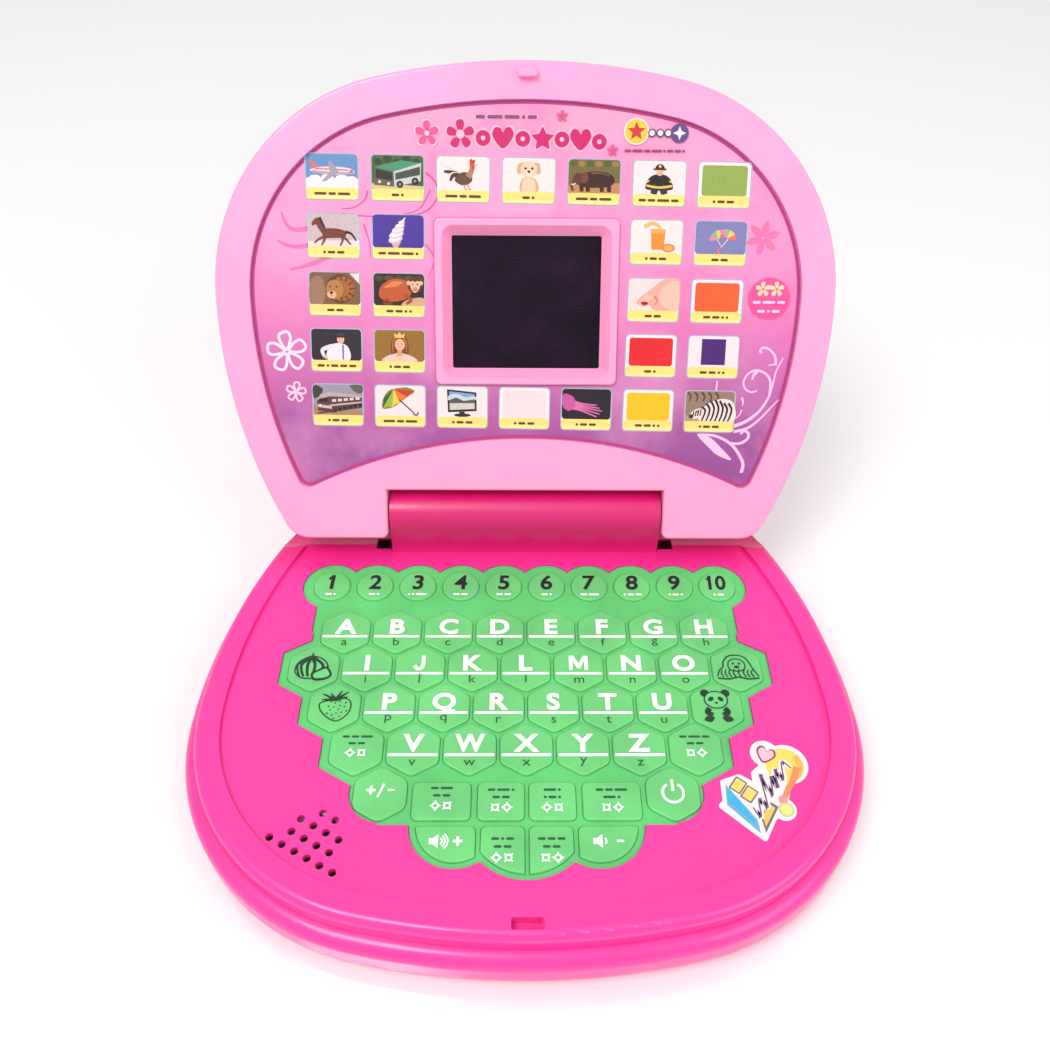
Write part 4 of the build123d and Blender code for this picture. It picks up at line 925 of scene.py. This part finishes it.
def queen(art):
    hair, lit = 0x783E1E, 0xB2703E
    art.blob([(-2.9, -1.4), (-3.2, 2.4), (-2, 5.4), (0.2, 6.3), (2.4, 5.2), (3.3, 2.2), (3, -1.4), (0, -2)],
             hair)
    for side in (-1, 1):
        art.line([(side * 0.8, 5.6), (side * 2.4, 3.4), (side * 2.5, -0.4)], 0.8, lit, 0.5)
    art.blob([(-6, -3.7), (-4.6, -1.8), (-1.2, -0.8), (1.2, -0.8), (4.6, -1.8), (6, -3.7)], 0xE8CEC8)
    art.shape([(-1, -1.8), (1, -1.8), (0.8, 0.6), (-0.8, 0.6)], 0xD8A082)
    calm_face(art, 0.1, 2.4, 1.85)
    art.line([(-1.8, -1.4), (0, -2.7), (1.8, -1.4)], 0.45, 0xF0CE6E)
    art.shape([(-1.7, 4.9), (-2, 6.7), (-0.9, 5.9), (0, 7), (0.9, 5.9), (2, 6.7), (1.7, 4.9)], 0xF0CC6E)


def square(art):
    art.shape([(-4.5, -2.9), (4.5, -2.9), (4.5, 6.6), (-4.5, 6.6)], 0x4A1E76)


def train(art):
    art.blob([(-9, 7.2), (-9, 2.6), (-6.6, 3.4), (-5.6, 6)], 0x3C4238)
    art.blob([(4.6, 7.4), (6.4, 5), (9, 4.6), (9, 7.4)], 0x5C6054, 4)
    lower_ground(art, 0xA88A6C, -1, -1)
    art.shape([(-7.6, -2.2), (-7.9, 1.6), (-6.4, 4), (-3, 4.9), (8.9, 3.8), (8.9, 0), (-2.2, -2.9)], 0x5C3E42)
    art.shape([(-6.4, 4), (-3, 4.9), (8.9, 3.8), (8.9, 2.9), (-3.2, 3.2), (-7.9, 1.6)], 0xBAAAB0)
    art.shape([(-7.4, 1), (-6.9, 2.3), (-3.9, 2.8), (-3.9, 1.2)], 0x28222C)
    art.shape([(-7.7, -0.8), (-7.6, 0.2), (-2.4, -0.4), (-2.3, -1.5)], 0xCEBEBE)
    for i in range(5):
        x, y = -2.2 + 2.2 * i, 1.1 + 0.22 * i
        art.shape([(x, y), (x, y + 1), (x + 1.5, y + 1.12), (x + 1.5, y + 0.14)], 0xD4D8E2)
    art.stroke([(-3, -0.2), (8.9, 1.2)], 0.5, 0xD6C4C4)
    for i in range(6):
        art.disc(-1.2 + 1.9 * i, -2.1 + 0.42 * i, 0.7, 0x282024)
    art.disc(-6.6, -0.2, 0.45, 0xFCF0C8)
    art.stroke([(-7.8, -3.2), (8.9, -0.6)], 0.4, 0x4A3C3A)


def umbrella(art):
    top = Vector((-2.4, 6.4))
    rim = [(-6.6, -1), (-5, -1.9), (-3, -0.6), (-1.6, -0.2), (-0.2, 1.2), (1.6, 1.9), (2.6, 3.4), (4.6, 4.2),
           (5.4, 5.6)]
    shoulders = [(-6.4, 2.6), (-4.9, 3.6), (-3.8, 4.6), (-2, 5.4), (0.6, 6.6), (3, 6.9)]
    colours = (0x385C32, 0x96BC46, 0xF4D656, 0xE88034, 0xCC382C)
    bounds = (shoulders[0], rim[0], rim[2], rim[4], rim[6], rim[8])
    art.blob([rim[0], shoulders[0], (-4.6, 5.4), top, (1.4, 7), shoulders[5], rim[8], rim[6], rim[4], rim[2]],
             0x788C38, 5)
    for i, colour in enumerate(colours):
        a, b = Vector(bounds[i]), Vector(bounds[i + 1])
        middle = (a + b) / 2 + (top - (a + b) / 2) * 0.08
        art.shape([top, a, middle, b], colour)
    art.stroke([(-0.4, 2.4), (4.8, -2.2)], 0.45, 0x4A3632)
    art.line([(4.8, -2.2), (5.4, -3.2), (6.4, -3.1), (6.7, -2.2)], 0.5, 0x4A3632)


def video(art):
    case = 0x24262C
    art.shape([(-5.8, 6.6), (5.2, 5.6), (5.4, -1.4), (-5.4, -2)], case)
    art.shape([(-5, 5.9), (4.5, 5), (4.7, -0.6), (-4.7, -1.1)], 0x78ACD4)
    art.blob([(-4.9, 4.4), (-2, 5), (1, 3.8), (4.5, 4.2), (4.6, 2.6), (-4.8, 2.4)], 0xC4D8E8, 4)
    art.shape([(-4.9, 2.6), (-2.4, 3.6), (0.4, 2.4), (4.6, 3), (4.6, 1.6), (-4.8, 1.4)], 0x545C58)
    art.shape([(-4.8, 1.4), (4.6, 1.6), (4.7, -0.6), (-4.7, -1.1)], 0xCED0CA)
    art.shape([(-1.2, -1.8), (0.8, -1.7), (1, -2.8), (-1.2, -2.9)], case)
    art.disc(0, -3, 3.2, case, 0.2)


def x_ray(art):
    for i in range(5):
        spread = (i - 2) * 1.25
        art.line([(-7.6, 4.2 - i * 0.9), (-2.4, 2.8 - i * 0.9 + spread * 0.2),
                  (6 - abs(i - 2), 1.6 - i * 1.1)], 0.9, 0xD674B6, 0.45)
    art.blob([(-8.8, 5.6), (-5, 4.6), (-4.2, 1.4), (-6.4, -0.6), (-8.8, 1)], 0xC45CA8)


def zebra(art):
    for i in range(5):
        art.line([(-8.6 + i * 2.6, 7.2), (-7.4 + i * 2.6, 5.6), (-8 + i * 2.6, 3.8)], 0.9, 0x54463E, 0.5)
    lower_ground(art, 0xB09E86, -1.6)
    hide = 0xECE6E4
    art.blob([(-3.4, -3.7), (-2.4, 1.4), (1.6, 4.2), (5.8, 4.8), (9, 3), (9, -3.7)], hide)
    art.blob([(-2.4, 1), (-5.2, 0.8), (-7.4, -1.2), (-7, -2.6), (-5, -2.6), (-2.6, -1.4)], hide)
    for i in range(7):
        x = -2 + 1.65 * i
        top = 1.6 + 2.8 * math.sin(min(i, 5) * 0.5)
        art.line([(x - 1, top), (x + 0.3, top * 0.35), (x - 0.1, -1.6), (x - 0.9, -3.6)], 0.85, BLACK, 0.6)
    for i in range(4):
        art.stroke([(-3.2 - 0.9 * i, 0.9 - 0.3 * i), (-3.6 - 0.9 * i, -1.6 - 0.1 * i)], 0.4, BLACK)
    art.disc(-6.9, -1.9, 0.8, 0x362C2C)
    art.disc(-4.4, -0.1, 0.35, BLACK, steps=8)


PICTURES = (         # height up the lid, then the cells: name, ground or patch colour, drawing
    (123, (("airplane", 0x6094CC, airplane), ("bus", 0x46623E, bus), ("cockerel", 0xF4EAEC, cockerel),
           ("dog", 0xF4EAEA, dog), ("elephant", 0x706C3E, elephant), ("firefighter", 0xF4EAEE, firefighter),
           ("green", 0x8EB054, None))),
    (102.9, (("horse", 0xC4BEC4, horse), ("ice_cream", 0x4834A0, ice_cream), None, None, None,
             ("juice", 0xF6ECEC, juice), ("kite", 0x7C84BE, kite))),
    (82.5, (("lion", 0x7A5E48, lion), ("monkey", 0x30241E, monkey), None, None, None,
            ("nose", 0xF0E2E6, nose), ("orange", 0xEC6232, None))),
    (62.3, (("police_officer", 0x2E2832, police_officer), ("queen", 0x92702E, queen), None, None, None,
            ("red", 0xDE242C, None), ("square", 0xF4EAF0, square))),
    (42, (("train", 0x969CB0, train), ("umbrella", 0xF4E8EA, umbrella), ("video", 0xF4EAEE, video),
          ("white", 0xF0E2EA, None), ("x_ray", 0x261C28, x_ray), ("yellow", 0xF0C81A, None),
          ("zebra", 0x948070, zebra))),
)
COLUMN_PITCH = 23.3
MIDDLE_COLUMN = 3
PRINT_TURN = -0.8           # the printed film sits a little turned in its recess, in degrees,
PRINT_MIDDLE = 82.5         # about a point this far up the lid


def picture_cell(name, colour, draw, x, up, place):
    """A white-edged card with its picture, or a patch of one colour, over a yellow label."""
    art = Artwork("picture_" + name, "lid", place, "printed_panel").at(x, up)
    half_w, half_h = CELL_W / 2, CELL_H / 2
    art.shape(rounded(-half_w, -half_h, half_w, half_h, CELL_R), CELL_EDGE)
    art.shape(rounded(-half_w + 0.4, -half_h + 0.4, half_w - 0.4, half_h - 0.4, CELL_R - 0.3), 0xFAF6EC)
    art.shape(rounded(-PIC_HALF_W, PIC_LOW, PIC_HALF_W, PIC_HIGH, 1.3), colour if draw else 0xF4F0F8)
    if draw:
        draw(art)
    else:
        art.shape(rounded(*PATCH), colour)
    art.shape(rounded(-half_w + 0.4, -half_h + 0.4, half_w - 0.4, -half_h + LABEL_H, CELL_R - 0.3),
              LABEL_YELLOW)
    art.shape(rounded(-half_w + 0.6, -half_h + 0.5, half_w - 0.6, -half_h + 1.5, 0.5), 0xFEF0A4)
    art.word(0, -half_h + 2.3, min(len(name), 9), 2.7, LABEL_INK, len(name))
    art.finish()


panel_face = lid_place(lid_height("picture_panel"))
middle = Matrix.Translation((0, PRINT_MIDDLE, 0))
film_face = panel_face @ middle @ Matrix.Rotation(math.radians(PRINT_TURN), 4, "Z") @ middle.inverted()
for up, row in PICTURES:
    for column, entry in enumerate(row):
        if entry:
            picture_cell(*entry, (column - MIDDLE_COLUMN) * COLUMN_PITCH, up, film_face)


# ---------------------------------------------------------------- panel decoration

PETALS = 5
PETAL = [(0.12, 0), (0.5, 0.26), (0.86, 0.3), (1, 0.06), (0.96, -0.2), (0.6, -0.26)]


def petal_flower(art, x, y, size, colour, heart=None, turn=90, hollow=0):
    """A round-petalled flower; with hollow set, each petal is drawn as a loop of that width."""
    for i in range(PETALS):
        loop = turned([Vector(p) * size for p in PETAL], turn + i * 360 / PETALS, x, y)
        if hollow:
            art.line(loop, hollow, colour, closed=True)
        else:
            art.blob(loop, colour)
    if heart:
        art.disc(x, y, size * 0.2, heart)


def star(x, y, size, points=5, notch=0.45):
    """Outline of a star."""
    spikes = []
    for i in range(2 * points):
        spikes += turned([(size * (notch if i % 2 else 1), 0)], 90 + i * 180 / points, x, y)
    return spikes


TITLE_SHAPES = (
    ("blossom", -23.6, 138.4, 4.9), ("bead", -15.6, 137.2, 2.6), ("heart", -8.6, 137.4, 1.55),
    ("bead", -1.6, 137, 2.6), ("star", 5.4, 137, 4.2), ("bead", 12.2, 136.9, 2.6),
    ("heart", 18.8, 136.9, 1.55), ("bead", 25.4, 136.2, 2.6),
)
HEART = [(0, -2.3), (2.3, 0.2), (1.9, 2), (0.7, 2.1), (0, 1.1), (-0.7, 2.1), (-1.9, 2), (-2.3, 0.2)]


def title_shape(art, kind, x, y, size, swell, colour):
    """One form of the decorative row at the panel's top; swell widens it for the outline behind."""
    if kind == "blossom":
        petal_flower(art, x, y, size + swell, colour)
    elif kind == "heart":
        art.blob(turned([Vector(p) * (size + swell * 0.45) for p in HEART], 0, x, y), colour)
    elif kind == "star":
        art.shape(star(x, y, size + swell * 1.5, 5, 0.52), colour)
    else:
        art.disc(x, y, size + swell, colour)


def panel_title():
    art = Artwork("panel_title", "lid", panel_face, "printed_panel")
    for swell, colour in ((0.7, 0xF6BEDC), (0, MAGENTA)):
        for kind, x, y, size in TITLE_SHAPES:
            title_shape(art, kind, x, y, size, swell, colour)
    for kind, x, y, size in TITLE_SHAPES:
        if kind in ("blossom", "bead"):
            art.disc(x, y, size * 0.3, 0xFAC4DE)
            art.level -= LAYER
    art.level += LAYER
    art.word(-7.4, 144.2, 11, 3.4, 0xF8D6EC, 5)
    art.word(-7.4, 144.2, 11, 3.3, 0x7A5284, 5)
    petal_flower(art, -35.3, 138.6, 4.8, 0xF8CEE4)
    petal_flower(art, -35.3, 138.6, 4.2, 0xE45898, 0xFCD6E6)
    for x, y in ((12.2, 144.6), (30.2, 133.4)):
        petal_flower(art, x, y, 1.9, 0xDE609C)
    art.disc(38.4, 139.7, 4.5, 0xFCE8EC)
    art.disc(38.4, 139.7, 4, 0xFAD246)
    art.shape(star(38.4, 139.7, 3.3), 0xCE3C3E)
    for x in (43.9, 46.8, 49.6):
        art.disc(x, 139.2, 1.4, 0x604680)
        art.disc(x, 139.2, 0.95, 0xFAF4FC)
    art.disc(53.6, 139.2, 3.2, 0x604E90)
    art.shape(star(53.6, 139.2, 2.3, 4, 0.4), 0xFCF8FC)
    art.word(45.1, 133.3, 16, 2.2, 0x964280, 9)
    art.finish()


def panel_badge():
    art = Artwork("panel_badge", "lid", panel_face, "printed_panel").at(89.1, 82.5)
    art.disc(0, 0, 8, 0xF068AC, 0.98)
    art.disc(0, 0, 7.5, 0xE854A0, 0.98)
    petal_flower(art, -2.4, 3.5, 2.7, 0xFCE2BA)
    petal_flower(art, 2.6, 3.5, 2.7, 0xFCE2BA)
    art.word(0, -1.2, 7, 2.9, 0xFCD6F0, 3)
    art.word(0, -4.4, 5, 2.9, 0xFCD6F0, 4)
    art.finish()


def panel_flowers():
    art = Artwork("panel_flowers", "lid", panel_face, "printed_panel")
    petal_flower(art, -88.5, 62.6, 7.2, 0xFCE8F6, None, 95, hollow=1)
    petal_flower(art, -85.9, 47.8, 3.6, 0xF8D4EC, None, 80, hollow=0.7)
    art.finish()


SWIRLS = (       # width, taper, then the points of each curl of the vine
    (1.1, 0.35, ((78.4, 35.4), (82.6, 37), (86.2, 39.4), (89, 42.4), (91.4, 46.8), (92.6, 51.5), (93.6, 56.4),
                 (95.8, 61.2))),
    (0.9, 0.4, ((78.8, 33.4), (84, 34.8), (88.2, 38), (92.4, 42.6), (95.2, 45.6))),
    (0.8, 0.6, ((91.6, 47.6), (91.6, 52.4), (89.6, 55.3), (85.9, 56.6), (82.8, 54.9), (81.5, 51.9),
                (82.5, 49.5), (84.6, 48.4), (86.8, 49))),
    (1.3, 0.4, ((86.4, 56.2), (85.2, 54.8), (84.7, 53))),
    (0.7, 1, ((93.2, 58.6), (92.6, 62), (90.2, 64.4), (87.8, 64.8), (87, 63.6), (87.8, 63))),
    (0.6, 0.4, ((93.6, 58.8), (91.6, 58.6), (90.2, 58.2))),
    (0.8, 0.3, ((81.2, 46.4), (81.8, 44.6), (81.6, 43.2))),
    (0.5, 0.4, ((81.4, 41.8), (80.8, 40), (79.4, 38.4))),
    (0.8, 1.3, ((65.4, 32.2), (71, 32), (75.4, 30.4), (79, 27.8), (81.6, 24.4), (83.2, 20.8), (82.6, 17.6))),
    (0.8, 1.2, ((77.8, 29), (81.6, 29), (84.3, 30.8), (84.4, 33), (82.6, 33.8), (81.6, 32.6))),
    (0.5, 1, ((71.6, 52.6), (71.4, 48.8))),
)
FAINT_SWIRLS = (
    (0.8, 0.5, ((-36, 125.6), (-32.4, 122), (-32, 117.4), (-36.4, 112.4), (-46, 110.6), (-60, 110.8),
                (-66, 111.6))),
    (0.7, 0.5, ((-56.8, 119.4), (-58, 116.2), (-62, 113.6), (-66.4, 113.2))),
    (0.6, 0.5, ((-34.4, 119.8), (-38.4, 113.4), (-44, 111.4))),
    (0.6, 0.4, ((-36.6, 101), (-33.4, 96), (-35.6, 90))),
    (0.6, 0.4, ((-58.6, 108), (-56.8, 101.6), (-56.6, 96.4))),
)


def panel_swirls():
    art = Artwork("panel_swirls", "lid", panel_face, "printed_panel")
    for width, taper, points in FAINT_SWIRLS:
        art.line(points, width, 0xD65CA4, taper)
        art.level -= LAYER
    for turn in range(0, 360, 60):
        petal = [(0.4, 0), (3.4, 1.5), (6.4, 0.2), (3.2, -1.3)]
        art.blob(turned(petal, turn + 15, 85.5, 104), 0xEC7CB4)
        art.level -= LAYER
    for tip, bend, root in (((-88, 112), (-84, 106), (-70, 108)), ((-90, 102), (-82, 100), (-66, 104)),
                            ((-86, 92), (-78, 94), (-64, 100))):
        art.line([root, bend, tip], 2.2, 0xE87AB4, 0.3)
        art.level -= LAYER
    pale = 0xF4CEF0
    for width, taper, points in SWIRLS:
        art.line(points, width * 1.2, pale, taper)
    art.blob([(65, 32.4), (69.6, 31.4), (73.4, 28.2), (78.6, 22.6), (73.2, 24.4), (69.4, 27.6)], pale)
    art.finish()


BORDER_WIDTH = 1.15
BORDER_STEP = 0.4                      # the border's points stand at least this far apart


def panel_border():
    """The dark line along the panel's edge, taken from the CAD panel's own outline: partly the printed rim,
    partly painted shade of the recess wall.
    """
    mesh = bmesh.new()
    mesh.from_mesh(frame["nodes"]["picture_panel"].data)
    bmesh.ops.remove_doubles(mesh, verts=mesh.verts, dist=0.001 * MM)
    top = lid_height("picture_panel") - 0.1 * MM
    off_face = [f for f in mesh.faces if f.normal.dot(LID_OUT) < 0.9
                or (f.calc_center_median() - HINGE).dot(LID_OUT) < top]
    bmesh.ops.delete(mesh, geom=off_face, context="FACES")
    edges = [e for e in mesh.edges if e.is_boundary]
    loops = []
    while edges:
        chain = list(edges.pop().verts)
        while step := next((e for e in chain[-1].link_edges if e in edges), None):
            edges.remove(step)
            chain.append(step.other_vert(chain[-1]))
        loops.append([v.co.copy() for v in chain[:-1]])
    mesh.free()
    outer = max(loops, key=lambda loop: max(p.x for p in loop))
    edge = []
    for p in outer:
        flat = Vector((p.x, (p - HINGE).dot(LID_UP))) / MM
        if not edge or (flat - edge[-1]).length > BORDER_STEP:
            edge.append(flat)
    inwards = math.copysign(BORDER_WIDTH, signed_area(edge))
    inner = []
    for i, p in enumerate(edge):
        along = (edge[(i + 1) % len(edge)] - edge[i - 1]).normalized()
        inner.append(p + Vector((-along.y, along.x)) * inwards)
    art = Artwork("panel_border", "lid", panel_face, "printed_panel", first=0)
    # the band's dark magenta is partly print and partly painted shade of the recess wall
    art.band(inner, edge, 0xB04292)
    art.finish()


panel_border()
panel_swirls()
panel_flowers()
panel_title()
panel_badge()


# ---------------------------------------------------------------- sticker on the deck

def sticker_art():
    """Bright shapes and a heart on the white die-cut sticker."""
    place = level_place(Vector((0, HINGE.y, corners("base_sticker")[1].z)))
    art = Artwork("sticker_print", "base", place, "sticker_film")
    art.disc(85.6, -105.4, 6.3, 0xFCE868)
    art.band(arc(85.6, -105.4, 4, -75, 40), arc(85.6, -105.4, 6.3, -75, 40), 0xFAC460, False)
    art.shape([(64.9, -112.2), (64.4, -119.6), (73.6, -129.4), (73.4, -124.9)], 0x70BAE2)
    art.shape([(65.4, -113.4), (64.9, -118.6), (73, -127), (72.8, -125.2)], 0x40BEF4)
    for x, y in ((69, -112.7), (72.2, -115.9)):
        art.shape(turned(rounded(-2.1, -2.6, 2.1, 2.6, 0.4), -38, x, y), 0x78747C)
        art.shape(turned(rounded(-1.6, -2.1, 1.6, 2.1, 0.3), -38, x, y), 0xFCE478)
    art.shape([(78, -118.2), (80.8, -120.4), (75.3, -129.2), (74.6, -124.2)], 0x707486)
    art.shape([(77.9, -119.2), (79.7, -120.7), (75.6, -127.2), (75.2, -123.4)], 0xFAD060)
    scribble = [(72.6, -120.6), (74.6, -124), (75, -117.4), (77.4, -120.6), (76.8, -108.6), (79.6, -116.6),
                (80.2, -109.4), (82, -113.8), (82, -106.8), (84.2, -111), (84.8, -104.2), (87.4, -106.4)]
    art.line(scribble, 1.9, 0xFCFAFC)
    art.line(scribble, 0.55, 0x706484)
    art.line([(83, -118), (85, -114.4), (87.2, -111.2), (89.6, -106.2)], 1.7, 0xF09668, 1.3)
    art.disc(82.8, -117.9, 1.5, 0xE2A6AA)
    for size, colour in ((1.35, 0x964E6E), (1.08, 0xFCCEE0)):
        art.blob(turned([Vector(p) * size for p in HEART], -24, 79.9, -101.6), colour)
    art.disc(83.2, -121.4, 2.4, 0xC4DE96)
    art.disc(83.2, -121.4, 1.9, 0xE8F496)
    art.finish()


sticker_art()


# ---------------------------------------------------------------- floor, light and camera

FLOOR_HALF = 3.0
FLOOR_GAP = 0.2 * MM                  # keeps the floor clear of the rubber feet
WORLD_TINT = (1.0, 0.985, 0.99, 1)
WORLD_STRENGTH = 0.82
LIGHT_TARGET = Vector((0, 0, 0.05))
LENS, SENSOR = 33.12, 36.0            # in mm; the camera was fitted to points on the deck, lid and keys
CAMERA_PLACE = Vector((-0.0044, HINGE.y - 0.2697, 0.3121))
CAMERA_TURN, CAMERA_DROP, CAMERA_ROLL = -0.953, 46.1, 0.836      # in degrees


def lamp(name, place, width, watts, colour=(1, 1, 1)):
    """A soft round lamp that points at the toy."""
    light = bpy.data.lights.new(name, "AREA")
    light.shape = "DISK"
    light.size = width
    light.energy = watts
    light.color = colour
    holder = new_object(name, light)
    holder.location = place
    holder.rotation_euler = (LIGHT_TARGET - Vector(place)).to_track_quat("-Z", "Y").to_euler()


def studio():
    mesh = bpy.data.meshes.new("studio_floor")
    grid = bmesh.new()
    bmesh.ops.create_grid(grid, x_segments=2, y_segments=2, size=FLOOR_HALF)
    grid.to_mesh(mesh)
    grid.free()
    floor = new_object("studio_floor", mesh)
    floor.location.z = -FLOOR_GAP
    look = Shader("studio_floor")
    look.set(ior=2.3)
    tone = look.two_tone(look.noise(2.0), grey(0.83), grey(0.85))
    mesh.materials.append(look.finish(tone, look.noise(12.0), 0.1, 0.14))

    world = bpy.data.worlds.new("studio")
    world.use_nodes = True
    background = world.node_tree.nodes["Background"].inputs
    background["Color"].default_value = WORLD_TINT
    background["Strength"].default_value = WORLD_STRENGTH
    bpy.context.scene.world = world
    lamp("key_light", (-0.45, -0.55, 1.25), 0.6, 11.0, (1.0, 0.99, 0.98))
    lamp("fill_light", (0.9, -0.7, 0.9), 0.9, 5.0)


def photo_camera():
    """Stands in front of the toy and looks down on it, a little left of its middle."""
    camera = bpy.data.cameras.new("camera")
    camera.sensor_width = SENSOR
    camera.lens = LENS
    camera.clip_start = 0.01
    holder = new_object("camera", camera)
    spins = ((CAMERA_TURN, "Z"), (90 - CAMERA_DROP, "X"), (CAMERA_ROLL, "Z"))
    turn, tilt, roll = (Matrix.Rotation(math.radians(angle), 3, axis) for angle, axis in spins)
    holder.rotation_euler = (turn @ tilt @ roll).to_euler()
    holder.location = CAMERA_PLACE
    bpy.context.scene.camera = holder


studio()
photo_camera()
bpy.context.scene.view_settings.view_transform = "Standard"
